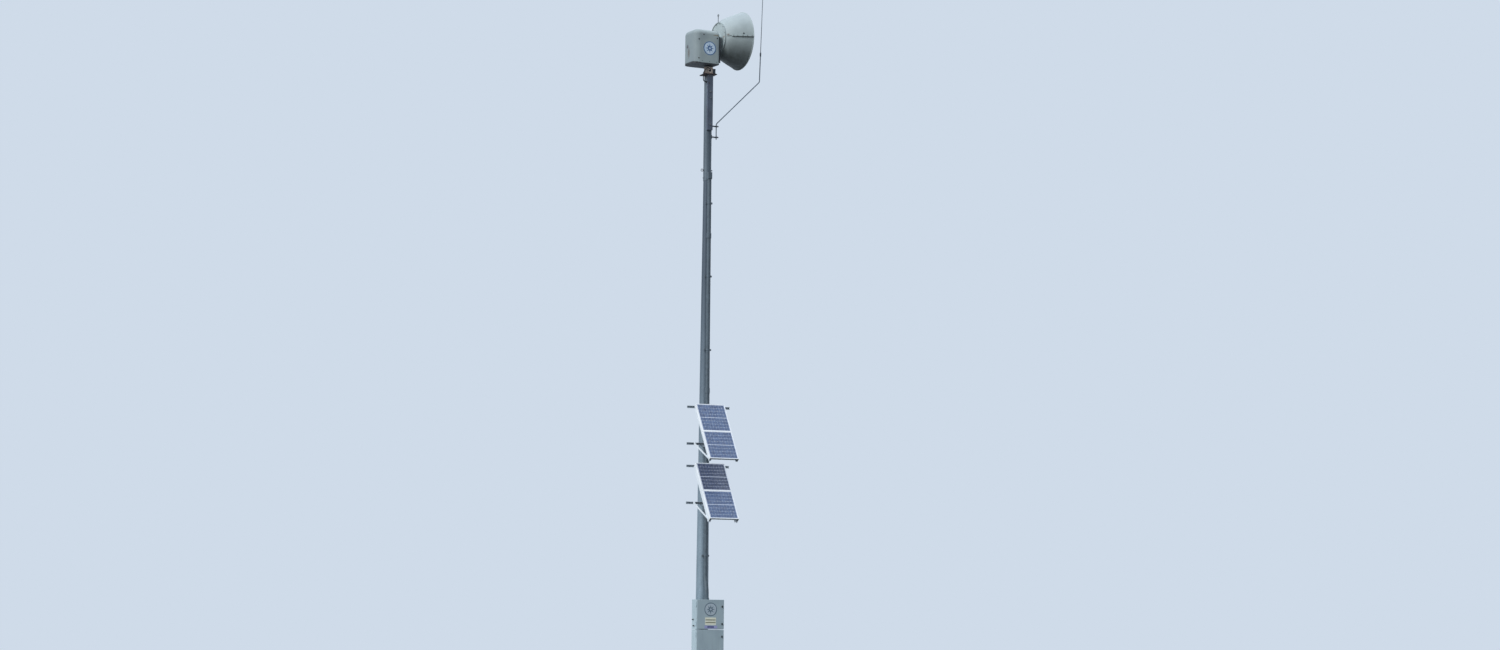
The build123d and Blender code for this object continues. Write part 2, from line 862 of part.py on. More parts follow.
def panel_frame(level):
    """Aluminium frame: a lip over the glass, a side wall and a flange at the back."""
    half = panel_width / 2
    shape = block((0, panel_length), (-half, half), (-frame_depth, 0))
    for start, end in module_spans():
        inner = half - frame_lip
        shape -= block((start, end), (-inner, inner), (-frame_depth, 0))
        wide = half - frame_gauge
        grow = frame_lip - frame_gauge
        shape -= block((start - grow, end + grow), (-wide, wide), (-frame_depth + frame_gauge, -frame_gauge))
    back = half - frame_flange
    window = (frame_flange, panel_length - frame_flange)
    shape -= block(window, (-back, back), (-frame_depth, -frame_depth + frame_gauge))
    return panel_plane(level) * shape


def panel_laminate(level):
    wide = panel_width / 2 - frame_gauge - fit_gap
    grow = frame_lip - frame_gauge - fit_gap
    sheets = [
        block((start - grow, end + grow), (-wide, wide), (-frame_gauge - laminate_thick, -frame_gauge))
        for start, end in module_spans()
    ]
    return [panel_plane(level) * sheet for sheet in sheets]


def panel_rails():
    """Strut channels along both edges, their mouths to the frame; the lower panel's are doubled."""
    rails = []
    for level, layers in zip(panel_levels, rail_layers):
        for side in (-1, 1):
            rail = Pos(0, 0, -rail_depth) * Rot(-90, 0, 0) * strut(panel_length, rail_depth)
            if layers > 1:
                rail += mirror(rail, Plane.XY.offset(-rail_depth))
            across = side * (panel_width - strut_width) / 2
            rails.append(panel_plane(level) * Pos(panel_length / 2, across, -frame_depth) * rail)
    return rails


def junction_boxes():
    """Wiring box on the back of each module."""
    deep = junction_box[2]
    boxes = []
    for level in panel_levels:
        for start, _ in module_spans():
            x = start + junction_box_place
            shape = Box(*junction_box, align=(Align.CENTER, Align.CENTER, Align.MAX))
            shape = fillet(shape.edges().filter_by(Axis.Z), junction_box_corner_r)
            boxes.append(panel_plane(level) * Pos(x, 0, -frame_gauge - laminate_thick) * shape)
    return boxes


def rail_side():
    return panel_width / 2


def panel_cleats():
    """Angles on the arms: ears inside the rails at the top, and outside them for the bars below."""
    cleats = []
    front = arm_front()
    for level in panel_levels:
        for z, inside in ((level, True), (level - arm_drop, False)):
            for side in (-1, 1):
                inner = rail_side() - strut_width - cleat_thick if inside else rail_side() - cleat_thick
                ear_x = sorted((side * inner, side * (inner + cleat_thick)))
                foot_x = sorted((side * (inner + cleat_thick), side * (inner + cleat_thick - cleat_foot)))
                low, high = z - cleat_height / 2, z + cleat_height / 2
                ear = block(ear_x, (-front - cleat_reach, -front), (low, high))
                foot = block(foot_x, (-front - cleat_thick, -front), (low, high))
                cleats.append(ear + foot)
    return cleats


def panel_struts():
    """Flat bars from the lower arms out to the rails' lower ends, on the rails' outer sides."""
    bars = []
    tilt = radians(panel_tilt)
    for level in panel_levels:
        plane = panel_plane(level)
        depth = frame_depth + rails_under(level) / 2
        low_end = plane.from_local_coords(Vector(strut_bar_low_place, 0, -depth))
        start_y = -arm_front() - cleat_reach / 2
        start_z = level - arm_drop
        run = hypot(low_end.Y - start_y, low_end.Z - start_z)
        fall = degrees(atan2(start_z - low_end.Z, start_y - low_end.Y))
        length = run + strut_bar_width
        for side in (-1, 1):
            bar = SlotOverall(length, strut_bar_width)
            bar = extrude(Plane.YZ * bar, strut_bar_thick)
            bar = Pos(0, -run / 2, 0) * bar
            x = rail_side() if side > 0 else -rail_side() - strut_bar_thick
            bars.append(Pos(x, start_y, start_z) * Rot(fall, 0, 0) * bar)
    return bars


# Cabinets


def cabinet_front():
    """Distance from the pole's axis to the front of the cabinets' bodies."""
    return cabinet_back() + cabinet_depth - door_depth - door_gap


def cabinet_body(low, high):
    half = cabinet_width / 2
    back, front = cabinet_back(), cabinet_front()
    wall = cabinet_wall
    shape = block((-half, half), (-front, -back), (low, high))
    shape -= block((-half + wall, half - wall), (-front + wall, -back - wall), (low + wall, high - wall))
    lip = cabinet_lip
    return shape - block((-half + lip, half - lip), (-front, -front + wall), (low + lip, high - lip))


def rail_heights():
    """Centre heights of the rails behind the cabinets, two for each."""
    heights = []
    for low, high in cabinet_spans:
        heights += [low + cabinet_rail_inset, high - cabinet_rail_inset]
    return heights


def cabinet_rails():
    rails = []
    back = cabinet_back() - strut_width
    for z in rail_heights():
        rail = Pos(0, -back, z) * strut(cabinet_rail_length, strut_width)
        leg = pole_radius(z) + fit_gap + ubolt_d / 2
        for x in (-leg, leg):
            rail -= ubolt_hole(back, x, z)
        rails.append(rail)
    return rails


def cabinet_ubolts():
    tip = cabinet_back() - strut_width + strut_gauge + ubolt_tail
    return [ubolt(z, pole_radius(z), tip) for z in rail_heights()]


def cabinet_saddles():
    saddles = []
    back = cabinet_back() - strut_width
    for z in rail_heights():
        low, high = z - saddle_height / 2, z + saddle_height / 2
        saddle = block((-saddle_width / 2, saddle_width / 2), (-back, 0), (low, high))
        saddles.append(saddle - pole_form(fit_gap, low - cut_past, high + cut_past))
    return saddles


def hinge_axis():
    """Plan position of the doors' hinge axis."""
    return -cabinet_width / 2 - hinge_offset, -cabinet_front() - door_gap / 2


def hinge_heights(low, high):
    return [low + hinge_inset, high - hinge_inset]


def door_hinges():
    """The cabinets' halves of the hinges: a leaf on the side wall, two knuckles and the pin."""
    x, y = hinge_axis()
    side = -cabinet_width / 2
    hinges = []
    for low, high in cabinet_spans:
        for z in hinge_heights(low, high):
            tall = 1.5 * knuckle_height
            leaf = block((side - leaf_thick, side), (y + knuckle_r, y + leaf_reach), (z - tall, z + tall))
            pin = upright(hinge_pin_d / 2, z - tall, z + tall, x, y)
            hinge = leaf + pin
            for end in (-1, 1):
                centre = z + end * knuckle_height
                span = (centre - knuckle_height / 2, centre + knuckle_height / 2)
                hinge += upright(knuckle_r, *span, x, y)
                hinge += block((side - leaf_thick, side), (y, y + leaf_reach), span)
            gap = (z - knuckle_height / 2 - knuckle_space / 2, z + knuckle_height / 2 + knuckle_space / 2)
            room = upright(knuckle_r + knuckle_room, *gap, x, y) - upright(hinge_pin_d / 2, *gap, x, y)
            hinges.append(hinge - room)
    return hinges


def cabinet_door(low, high):
    """Sheet pan with a rounded edge and its hinge knuckles on the left."""
    x, y = hinge_axis()
    half = cabinet_width / 2 - door_margin / 2
    back = cabinet_front() + door_gap
    front = back + door_depth
    z_span = (low + door_margin / 2, high - door_margin / 2)
    door = block((-half, half), (-front, -back), z_span)
    door = fillet(door.edges().group_by(Axis.Y)[0], door_edge_r)
    inner = half - door_sheet
    door -= block(
        (-inner, inner),
        (-front + door_sheet, -back),
        (z_span[0] + door_sheet, z_span[1] - door_sheet),
    )
    for z in hinge_heights(low, high):
        tall = knuckle_height / 2 - knuckle_space / 2
        span = (z - tall, z + tall)
        knuckle = upright(knuckle_r, *span, x, y)
        knuckle += block((x, -half), (-back - door_leaf_depth, -back), span)
        knuckle += block((x, x + knuckle_r), (-back - door_leaf_lap, y), span)
        door += knuckle - upright(hinge_pin_d / 2 + hinge_gap, *span, x, y)
    return door


def latches(low, high):
    """Two quarter-turn latches on a door's free edge."""
    front = cabinet_front() + door_gap + door_depth
    x = cabinet_width / 2 - latch_inset
    wide, deep, tall = latch_wing
    knobs = []
    for z in (high - latch_top_inset, low + latch_low_inset):
        knob = rod_y(latch_r, -front - latch_height, -front, x, z)
        wing = block(
            (x - wide / 2, x + wide / 2),
            (-front - latch_height - deep, -front),
            (z - tall / 2, z + tall / 2),
        )
        knobs.append(knob + fillet(wing.edges().filter_by(Axis.Y), latch_wing_r))
    return knobs


def side_glands():
    """Cable glands on the upper cabinet's left side."""
    side = -cabinet_width / 2
    glands = []
    for forward, rise in gland_places:
        y, z = -cabinet_back() - forward, upper_cabinet_low + rise
        gland = Pos(side - gland_hex_length, y, z) * hex_nut(gland_hex, gland_hex_length, Plane.YZ)
        cap_end = side - gland_hex_length - gland_cap_length
        gland += rod_x(gland_cap_d / 2, cap_end, side - gland_hex_length, y, z)
        glands.append(gland)
    return glands


parts = {
    "base_flange": base_flange(),
    "pole_lower": pole_lower(),
    "pole_upper": pole_upper(),
    "eye_bolt": eye_bolt(),
    "siren_channel": siren_channel(),
    "channel_bolts": channel_bolts(),
    "mounting_plate": mounting_plate(),
    "rotator_base": rotator_base(),
    "drive_gearbox": drive_gearbox(),
    "flex_conduit": flex_conduit(),
    "turntable": turned(turntable()),
    "chassis_pan": turned(chassis_pan()),
    "housing_cover": turned(housing_cover()),
    "horn_neck": turned(horn_neck()),
    "horn_back_plate": turned(horn_back_plate()),
    "horn_upper": turned(horn_shell(0)),
    "horn_lower": turned(horn_shell(180)),
    "throat_stator": turned(throat_stator()),
    "chopper_rotor": turned(chopper_rotor()),
    "lifting_eye": turned(lifting_eye()),
    "antenna_bracket": antenna_bracket(),
    "antenna_mast": antenna_mast(),
    "antenna_whip": antenna_whip(),
    "conduit_riser": conduit_riser(),
    "conduit_hub": conduit_hub(),
    "conduit_elbow": conduit_elbow(),
    "conduit_straps": conduit_straps(),
    "cross_arms": cross_arms(),
    "pole_ubolts": arm_ubolts() + cabinet_ubolts(),
    "pole_standoffs": arm_standoffs() + cabinet_saddles(),
    "panel_frames": [panel_frame(level) for level in panel_levels],
    "panel_laminates": [sheet for level in panel_levels for sheet in panel_laminate(level)],
    "panel_rails": panel_rails(),
    "junction_boxes": junction_boxes(),
    "panel_cleats": panel_cleats(),
    "panel_struts": panel_struts(),
    "upper_cabinet": cabinet_body(*cabinet_spans[0]),
    "lower_cabinet": cabinet_body(*cabinet_spans[1]),
    "cabinet_rails": cabinet_rails(),
    "door_hinges": door_hinges(),
    "side_glands": side_glands(),
    "upper_door": cabinet_door(*cabinet_spans[0]),
    "lower_door": cabinet_door(*cabinet_spans[1]),
    "upper_latches": latches(*cabinet_spans[0]),
    "lower_latches": latches(*cabinet_spans[1]),
}

os.makedirs("parts", exist_ok=True)
for name, shape in parts.items():
    if isinstance(shape, list):
        shape = Compound(children=shape)
    export_step(shape, f"parts/{name}.step")
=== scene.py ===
import math

import bmesh
import bpy
from mathutils import Matrix, Vector


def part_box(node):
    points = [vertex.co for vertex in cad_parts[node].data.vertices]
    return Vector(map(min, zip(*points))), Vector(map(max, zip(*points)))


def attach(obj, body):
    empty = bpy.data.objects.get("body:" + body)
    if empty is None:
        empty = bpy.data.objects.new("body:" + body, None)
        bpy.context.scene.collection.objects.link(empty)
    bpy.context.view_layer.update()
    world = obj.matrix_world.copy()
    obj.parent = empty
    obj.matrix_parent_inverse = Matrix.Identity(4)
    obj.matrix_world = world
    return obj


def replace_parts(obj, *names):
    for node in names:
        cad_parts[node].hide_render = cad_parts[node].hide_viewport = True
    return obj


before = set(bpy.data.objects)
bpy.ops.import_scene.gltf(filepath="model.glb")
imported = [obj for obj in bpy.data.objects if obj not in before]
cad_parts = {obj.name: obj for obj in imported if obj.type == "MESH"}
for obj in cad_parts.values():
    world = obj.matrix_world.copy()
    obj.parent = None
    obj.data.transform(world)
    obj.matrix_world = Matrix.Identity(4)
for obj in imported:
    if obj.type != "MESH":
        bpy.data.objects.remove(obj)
# A plain start opens with three objects that aren't part of this one.
for left_over in ("Cube", "Light", "Camera"):
    if left_over in bpy.data.objects:
        bpy.data.objects.remove(bpy.data.objects[left_over])
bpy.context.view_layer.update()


# The shaft: a tapered tube rolled from steel plate, welded along its back and to a square flange,
# and hot-dip galvanised as one piece. Years outdoors turn the bright zinc a patchy blue-grey, with
# paler runs where rain washes it and a darker head.

def linear(code):
    """Linear colour of an sRGB hex code."""
    shares = [int(code[i:i + 2], 16) / 255 for i in (1, 3, 5)]
    return (*[s / 12.92 if s <= 0.04045 else ((s + 0.055) / 1.055) ** 2.4 for s in shares], 1.0)


def add(tree, kind, inputs=None, **settings):
    """Adds a node with its settings. Each input is a value or the socket that feeds it."""
    made = tree.nodes.new(kind)
    for name, value in settings.items():
        setattr(made, name, value)
    for name, value in (inputs or {}).items():
        if isinstance(value, bpy.types.NodeSocket):
            tree.links.new(value, made.inputs[name])
        else:
            made.inputs[name].default_value = value
    return made


def start_finish(name, **fixed):
    """A new material with fixed shader values: itself, its tree, its shader and its Object coordinates."""
    finish = bpy.data.materials.new(name)
    finish.use_nodes = True
    tree = finish.node_tree
    shader = tree.nodes["Principled BSDF"]
    for label, value in fixed.items():
        shader.inputs[label.replace("_", " ")].default_value = value
    return finish, tree, shader, add(tree, "ShaderNodeTexCoord").outputs["Object"]


def patches(tree, place, size, stretch=1.0, low=0.42, high=0.62, detail=4.0):
    """Soft patches of a size in millimetres, 0 to 1, drawn out downwards by a stretch."""
    laid = add(tree, "ShaderNodeMapping", {"Vector": place, "Scale": (1.0, 1.0, 1.0 / stretch)}).outputs[0]
    noise = add(tree, "ShaderNodeTexNoise", {"Vector": laid, "Scale": 1000.0 / size, "Detail": detail})
    return add(tree, "ShaderNodeMapRange", {0: noise.outputs["Fac"], 1: low, 2: high}).outputs[0]


def coloured(tree, shader, under, *layers):
    """Lays colours over one below, each by its share from 0 to 1, and feeds the shader with them."""
    hue = linear(under) if isinstance(under, str) else under
    for share, colour in layers:
        hue = add(tree, "ShaderNodeMix", {0: share, 6: hue, 7: linear(colour)}, data_type="RGBA").outputs[2]
    tree.links.new(hue, shader.inputs["Base Color"])


def dulled(tree, shader, share, start, end):
    """Gives the shader a roughness that goes from one value to another with a share."""
    rough = add(tree, "ShaderNodeMapRange", {0: share, 3: start, 4: end}).outputs[0]
    tree.links.new(rough, shader.inputs["Roughness"])


def roughened(tree, shader, place, grain, height, strength):
    """Fine relief of a grain in millimetres."""
    grit = add(tree, "ShaderNodeTexNoise", {"Vector": place, "Scale": 1000.0 / grain, "Detail": 2.0})
    bump = add(tree, "ShaderNodeBump", {
        "Strength": strength, "Distance": height, "Height": grit.outputs["Fac"]})
    tree.links.new(bump.outputs[0], shader.inputs["Normal"])


def overlay(finish, shares, colour):
    """Lays a colour over a finish. Shares is a function of its tree and place that gives how much."""
    tree = finish.node_tree
    shader = tree.nodes["Principled BSDF"]
    under = shader.inputs["Base Color"].links[0].from_socket
    share = shares(tree, tree.nodes["Texture Coordinate"].outputs["Object"])
    coloured(tree, shader, under, (share, colour))


def galvanised(name, light, dark, spangle, wash, metal=0.3):
    """Weathered zinc: crystal spangle, cloudy patches, washed runs and a dull uneven sheen."""
    finish, tree, shader, place = start_finish(name, Metallic=metal)
    crystal = add(tree, "ShaderNodeTexVoronoi", {"Vector": place, "Scale": 1000.0 / spangle})
    shade = add(tree, "ShaderNodeSeparateColor", {0: crystal.outputs["Color"]}).outputs[0]
    cloud = patches(tree, place, 240.0, 2.5, 0.3, 0.7)
    tone = add(tree, "ShaderNodeMix", {0: 0.62, 2: shade, 3: cloud}).outputs[0]
    run = patches(tree, place, 34.0, 26.0, 0.55, 0.72)
    part = add(tree, "ShaderNodeMath", {0: run, 1: 0.45}, operation="MULTIPLY").outputs[0]
    coloured(tree, shader, dark, (tone, light), (part, wash))
    dulled(tree, shader, tone, 0.66, 0.5)
    roughened(tree, shader, place, 6.0, 0.0012, 0.18)
    return finish


def dress(finish, *nodes):
    """Gives pieces of the frame their material."""
    for node in nodes:
        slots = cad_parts[node].data.materials
        slots.clear()
        slots.append(finish)


def rising(low, high, most):
    """A share that grows with height, from nothing at one height to its most at another."""
    def shares(tree, place):
        up = add(tree, "ShaderNodeSeparateXYZ", {0: place}).outputs["Z"]
        return add(tree, "ShaderNodeMapRange", {0: up, 1: low, 2: high, 4: most}).outputs[0]
    return shares


# Hot-dip galvanised plate steel, dulled outdoors: spangle about 14 mm across reads as a faint mottle.
pole_zinc = galvanised("galvanised_pole_steel", "#8495a1", "#667783", 14.0, "#9aabb5")
# Soot and wind have dulled the shaft from the panels upwards.
soot_low, soot_high = 3.2, 7.6
overlay(pole_zinc, rising(soot_low, soot_high, 1.0), "#45515d")
dress(pole_zinc, "base_flange", "pole_lower")

# Outside radii of the shaft at its foot and at the slip joint.
foot_r, joint_r = 0.1215, 0.0665
joint_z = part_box("pole_upper")[0].z


def pole_radius(z):
    """Outside radius of the tapered shaft at a height."""
    return foot_r - (foot_r - joint_r) * z / joint_z


def piece(name, mesh, body, place=None):
    """A finished piece at the origin, riding on a body."""
    if place is not None:
        mesh.transform(place)
    made = bpy.data.objects.new(name, mesh)
    bpy.context.scene.collection.objects.link(made)
    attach(made, body)
    return made


def turn_out(mesh):
    """Points every face outwards."""
    work = bmesh.new()
    work.from_mesh(mesh)
    bmesh.ops.recalc_face_normals(work, faces=work.faces)
    work.to_mesh(mesh)
    work.free()


def solid(name, points, faces, *finishes, marks=None):
    """A closed mesh of points and faces. Marks give each face's material, where there are several."""
    mesh = bpy.data.meshes.new(name)
    mesh.from_pydata([tuple(p) for p in points], [], faces)
    for finish in finishes:
        mesh.materials.append(finish)
    if marks:
        mesh.polygons.foreach_set("material_index", marks)
    mesh.update()
    turn_out(mesh)
    return mesh


def band(name, line, across, thick, finish):
    """A strip along points with outward normals, as wide as the vector across and raised by thick."""
    points, faces = [], []
    for point, out in line:
        low, high = Vector(point), Vector(point) + Vector(out).normalized() * thick
        points += [low - across / 2, low + across / 2, high + across / 2, high - across / 2]
    last = 4 * (len(line) - 1)
    for here in range(0, last, 4):
        there = here + 4
        faces += [(here + k, there + k, there + (k + 1) % 4, here + (k + 1) % 4) for k in range(4)]
    faces += [(3, 2, 1, 0), (last, last + 1, last + 2, last + 3)]
    return solid(name, points, faces, finish)


def start_tree(name, sockets):
    """A Geometry Nodes tree with named inputs: the tree, its input node and its output node."""
    tree = bpy.data.node_groups.new(name, "GeometryNodeTree")
    tree.interface.new_socket("Geometry", in_out="INPUT", socket_type="NodeSocketGeometry")
    for label, kind in sockets.items():
        tree.interface.new_socket(label, in_out="INPUT", socket_type=kind)
    tree.interface.new_socket("Geometry", in_out="OUTPUT", socket_type="NodeSocketGeometry")
    return tree, tree.nodes.new("NodeGroupInput"), tree.nodes.new("NodeGroupOutput")


def close_tree(tree, start, end, shape):
    """Ends a tree in plain mesh with its material."""
    real = add(tree, "GeometryNodeRealizeInstances", {"Geometry": shape}).outputs[0]
    dressed = add(tree, "GeometryNodeSetMaterial", {"Geometry": real, "Material": start.outputs["Material"]})
    tree.links.new(dressed.outputs[0], end.inputs[0])


def grown(name, source, tree, **values):
    """The mesh that a tree makes of a source mesh, with its inputs set by name."""
    holder = bpy.data.objects.new(name + "_source", source)
    bpy.context.scene.collection.objects.link(holder)
    modifier = holder.modifiers.new(tree.name, "NODES")
    modifier.node_group = tree
    for item in tree.interface.items_tree:
        label = item.name.replace(" ", "_")
        if item.in_out == "INPUT" and label in values:
            modifier[item.identifier] = values[label]
    graph = bpy.context.evaluated_depsgraph_get()
    mesh = bpy.data.meshes.new_from_object(holder.evaluated_get(graph), depsgraph=graph)
    holder.modifiers.clear()
    bpy.data.objects.remove(holder)
    mesh.name = name
    return mesh


def wire(points, closed=False):
    """A mesh of edges through points."""
    mesh = bpy.data.meshes.new("line")
    count = len(points)
    edges = [(n, (n + 1) % count) for n in range(count if closed else count - 1)]
    mesh.from_pydata([tuple(p) for p in points], edges, [])
    return mesh


def ring(radius, z, steps, start=0.0):
    """Points on a level circle."""
    angles = [start + 2 * math.pi * n / steps for n in range(steps)]
    return [Vector((radius * math.cos(a), radius * math.sin(a), z)) for a in angles]


# A fillet weld: overlapping ripples laid along its line.
weld_tree, weld_in, weld_out = start_tree("weld_bead", {
    "Size": "NodeSocketFloat", "Step": "NodeSocketFloat", "Material": "NodeSocketMaterial"})
weld_line = add(weld_tree, "GeometryNodeMeshToCurve", {"Mesh": weld_in.outputs["Geometry"]})
weld_spots = add(weld_tree, "GeometryNodeCurveToPoints", {
    "Curve": weld_line.outputs[0], "Length": weld_in.outputs["Step"]}, mode="LENGTH")
ripple = add(weld_tree, "GeometryNodeMeshUVSphere", {
    "Segments": 8, "Rings": 5, "Radius": weld_in.outputs["Size"]})
ripples = add(weld_tree, "GeometryNodeInstanceOnPoints", {
    "Points": weld_spots.outputs["Points"], "Instance": ripple.outputs[0],
    "Rotation": weld_spots.outputs["Rotation"], "Scale": (1.0, 1.0, 0.8)})
close_tree(weld_tree, weld_in, weld_out, ripples.outputs[0])


def weld(name, radius, z, steps, size, finish):
    """A fillet weld round the pole, with a ripple every 5 mm."""
    line = wire(ring(radius, z, steps), closed=True)
    piece(name, grown(name, line, weld_tree, Size=size, Step=0.005, Material=finish), "tower")


flange_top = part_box("base_flange")[1].z
weld_lift = 0.001
weld("foot_weld", pole_radius(flange_top) + weld_lift, flange_top + weld_lift, 96, 0.006, pole_zinc)

# The seam weld, ground nearly flush, runs up the back.
seam_turn = math.radians(68)
seam_width, seam_rise, seam_sunk, seam_steps = 0.007, 0.0018, 0.0008, 40
seam_out = Vector((math.cos(seam_turn), math.sin(seam_turn), 0))
seam_side = Vector((-math.sin(seam_turn), math.cos(seam_turn), 0)) * seam_width
seam_zs = [flange_top + (joint_z - flange_top) * n / seam_steps for n in range(seam_steps + 1)]
seam_line = [(seam_out * (pole_radius(z) - seam_sunk) + Vector((0, 0, z)), seam_out) for z in seam_zs]
piece("pole_seam", band("pole_seam", seam_line, seam_side, seam_rise, pole_zinc), "tower")


# Slip joint: the straight tube is pushed over the shaft's spigot and locked by three hex set screws
# through its wall. The tube is older stock, gone a dull dark grey; the screws are zinc plated.

def plated(name, light, dark, rust):
    """Zinc-plated hardware: dull grey with brown specks."""
    finish, tree, shader, place = start_finish(name)
    cloud = patches(tree, place, 9.0, 1.0, 0.35, 0.7)
    speck = patches(tree, place, 14.0, 1.4, 0.56, 0.66, 6.0)
    coloured(tree, shader, dark, (cloud, light), (speck, rust))
    metal = add(tree, "ShaderNodeMapRange", {0: speck, 3: 0.7, 4: 0.1}).outputs[0]
    tree.links.new(metal, shader.inputs["Metallic"])
    dulled(tree, shader, speck, 0.42, 0.85)
    return finish


# Galvanised tube without a bright spangle left: dark blue-grey with faint streaks.
tube_zinc = galvanised("dull_galvanised_tube", "#5a6771", "#424e58", 11.0, "#6d7b86")
dress(tube_zinc, "pole_upper")
# Bright zinc gone grey, with rust in specks of about 14 mm.
bolt_zinc = plated("zinc_plated_steel", "#868c91", "#50565b", "#5b4032")


def facing(tree):
    """The turn that points each copy along the direction kept with its spot."""
    aim = add(tree, "GeometryNodeInputNamedAttribute", {"Name": "aim"}, data_type="FLOAT_VECTOR")
    return add(tree, "FunctionNodeAlignRotationToVector", {"Vector": aim.outputs[0]}, axis="Z").outputs[0]


# A hex head with a crowned top, on a round washer, turned by chance about its own axis.
bolt_tree, bolt_in, bolt_out = start_tree("hex_bolts", {
    "Size": "NodeSocketFloat", "Height": "NodeSocketFloat", "Washer": "NodeSocketFloat",
    "Seed": "NodeSocketInt", "Material": "NodeSocketMaterial"})
half_height = add(bolt_tree, "ShaderNodeMath", {0: bolt_in.outputs["Height"], 1: 0.5}, operation="MULTIPLY")
lift = add(bolt_tree, "ShaderNodeCombineXYZ", {"Z": half_height.outputs[0]})
hexagon = add(bolt_tree, "GeometryNodeMeshCylinder", {
    "Vertices": 6, "Radius": bolt_in.outputs["Size"], "Depth": bolt_in.outputs["Height"]})
hexagon = add(bolt_tree, "GeometryNodeTransform", {
    "Geometry": hexagon.outputs[0], "Translation": lift.outputs[0]})
crown_r = add(bolt_tree, "ShaderNodeMath", {0: bolt_in.outputs["Size"], 1: 0.84}, operation="MULTIPLY")
crown_lift = add(bolt_tree, "ShaderNodeCombineXYZ", {"Z": bolt_in.outputs["Height"]})
crown = add(bolt_tree, "GeometryNodeMeshCone", {
    "Vertices": 12, "Radius Bottom": crown_r.outputs[0], "Radius Top": half_height.outputs[0],
    "Depth": 0.0012})
crown = add(bolt_tree, "GeometryNodeTransform", {
    "Geometry": crown.outputs[0], "Translation": crown_lift.outputs[0]})
washer = add(bolt_tree, "GeometryNodeMeshCylinder", {
    "Vertices": 18, "Radius": bolt_in.outputs["Washer"], "Depth": 0.003})
bolt_shape = add(bolt_tree, "GeometryNodeJoinGeometry")
for part in (washer, crown, hexagon):
    bolt_tree.links.new(part.outputs[0], bolt_shape.inputs[0])
whole_turn = 6.28
spin = add(bolt_tree, "FunctionNodeRandomValue", {2: 0.0, 3: whole_turn, "Seed": bolt_in.outputs["Seed"]})
spin = add(bolt_tree, "ShaderNodeCombineXYZ", {"Z": spin.outputs[1]})
spun = add(bolt_tree, "FunctionNodeRotateRotation", {
    "Rotation": facing(bolt_tree), "Rotate By": spin.outputs[0]}, rotation_space="LOCAL")
bolts_laid = add(bolt_tree, "GeometryNodeInstanceOnPoints", {
    "Points": bolt_in.outputs["Geometry"], "Instance": bolt_shape.outputs[0], "Rotation": spun.outputs[0]})
close_tree(bolt_tree, bolt_in, bolt_out, bolts_laid.outputs[0])


def spots_mesh(spots):
    """Loose points, each with the direction that a bolt or screw there looks in."""
    mesh = bpy.data.meshes.new("spots")
    mesh.from_pydata([tuple(p) for p, _ in spots], [], [])
    aims = mesh.attributes.new("aim", "FLOAT_VECTOR", "POINT")
    aims.data.foreach_set("vector", [c for _, out in spots for c in out])
    return mesh


def bolts(name, spots, width, body, place=None, finish=bolt_zinc, seed=1):
    """Hex heads on washers at points that face outwards. Width is across the flats, in metres."""
    corner_share, height_share, washer_share = 0.577, 0.4, 0.78
    mesh = grown(name, spots_mesh(spots), bolt_tree, Size=width * corner_share, Height=width * height_share,
                 Washer=width * washer_share, Seed=seed, Material=finish)
    return piece(name, mesh, body, place)


tube_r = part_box("pole_upper")[1].x
screw_rise, first_screw = 0.055, math.radians(-76)
set_screws = [(p, (p.x, p.y, 0)) for p in ring(tube_r, joint_z + screw_rise, 3, first_screw)]
bolts("slip_joint_screws", set_screws, 0.017, "tower")


# Eye bolt, channel bolts, U-bolts and lifting eye: forged and bent steel, zinc plated. The conduit's
# straps, each a band over a saddle block, have dulled to the same dark zinc as the tube.

dress(bolt_zinc, "eye_bolt", "channel_bolts", "pole_ubolts", "lifting_eye")
dress(tube_zinc, "conduit_straps")


# Siren bracket channel: rolled steel, bolted through the pole and painted a dark grey that has
# weathered to a chalky, rust-pricked skin.

def painted(name, light, dark, rust, share, gloss):
    """Old paint on steel: cloudy colour, rust where it has lifted, and a duller sheen there."""
    finish, tree, shader, place = start_finish(name)
    cloud = patches(tree, place, 120.0, 1.6, 0.3, 0.7)
    spot = patches(tree, place, 38.0, 1.8, 0.70 - share, 0.76 - share, 8.0)
    coloured(tree, shader, dark, (cloud, light), (spot, rust))
    dulled(tree, shader, spot, gloss, 0.9)
    roughened(tree, shader, place, 4.0, 0.001, 0.25)
    return finish


# Slate-grey enamel gone chalky: clouds about 120 mm wide, with rust-brown pricks.
bracket_paint = painted("weathered_slate_paint", "#535e6f", "#414a59", "#4a3a3c", 0.08, 0.6)
dress(bracket_paint, "siren_channel")
# Near-black enamel on small castings: dull, a little brown at its worn spots.
dark_paint = painted("weathered_dark_paint", "#3a434d", "#272e36", "#4a3a34", 0.10, 0.55)
dress(dark_paint, "drive_gearbox", "antenna_bracket", "turntable")


# Mounting plate: bare steel plate gone to a dark purple-brown rust, welded on top of the tube and
# weeping down its head.

# Old rust on bare plate: matt and near black, with redder spots where it is fresh.
plate_rust = painted("rusted_plate_steel", "#3b3032", "#242022", "#6b4030", 0.12, 0.8)
dress(plate_rust, "mounting_plate")

plate_low, plate_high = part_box("mounting_plate")
plate_bolt_inset = 0.024
plate_bolt_at = plate_high.x - plate_bolt_inset
plate_spots = [(Vector((x, y, plate_high.z)), (0, 0, 1))
               for x in (-plate_bolt_at, plate_bolt_at) for y in (-plate_bolt_at, plate_bolt_at)]
bolts("plate_bolts", plate_spots, 0.019, "tower")
under_lift = 0.002
weld("plate_weld", tube_r + under_lift, plate_low.z - weld_lift, 64, 0.004, plate_rust)

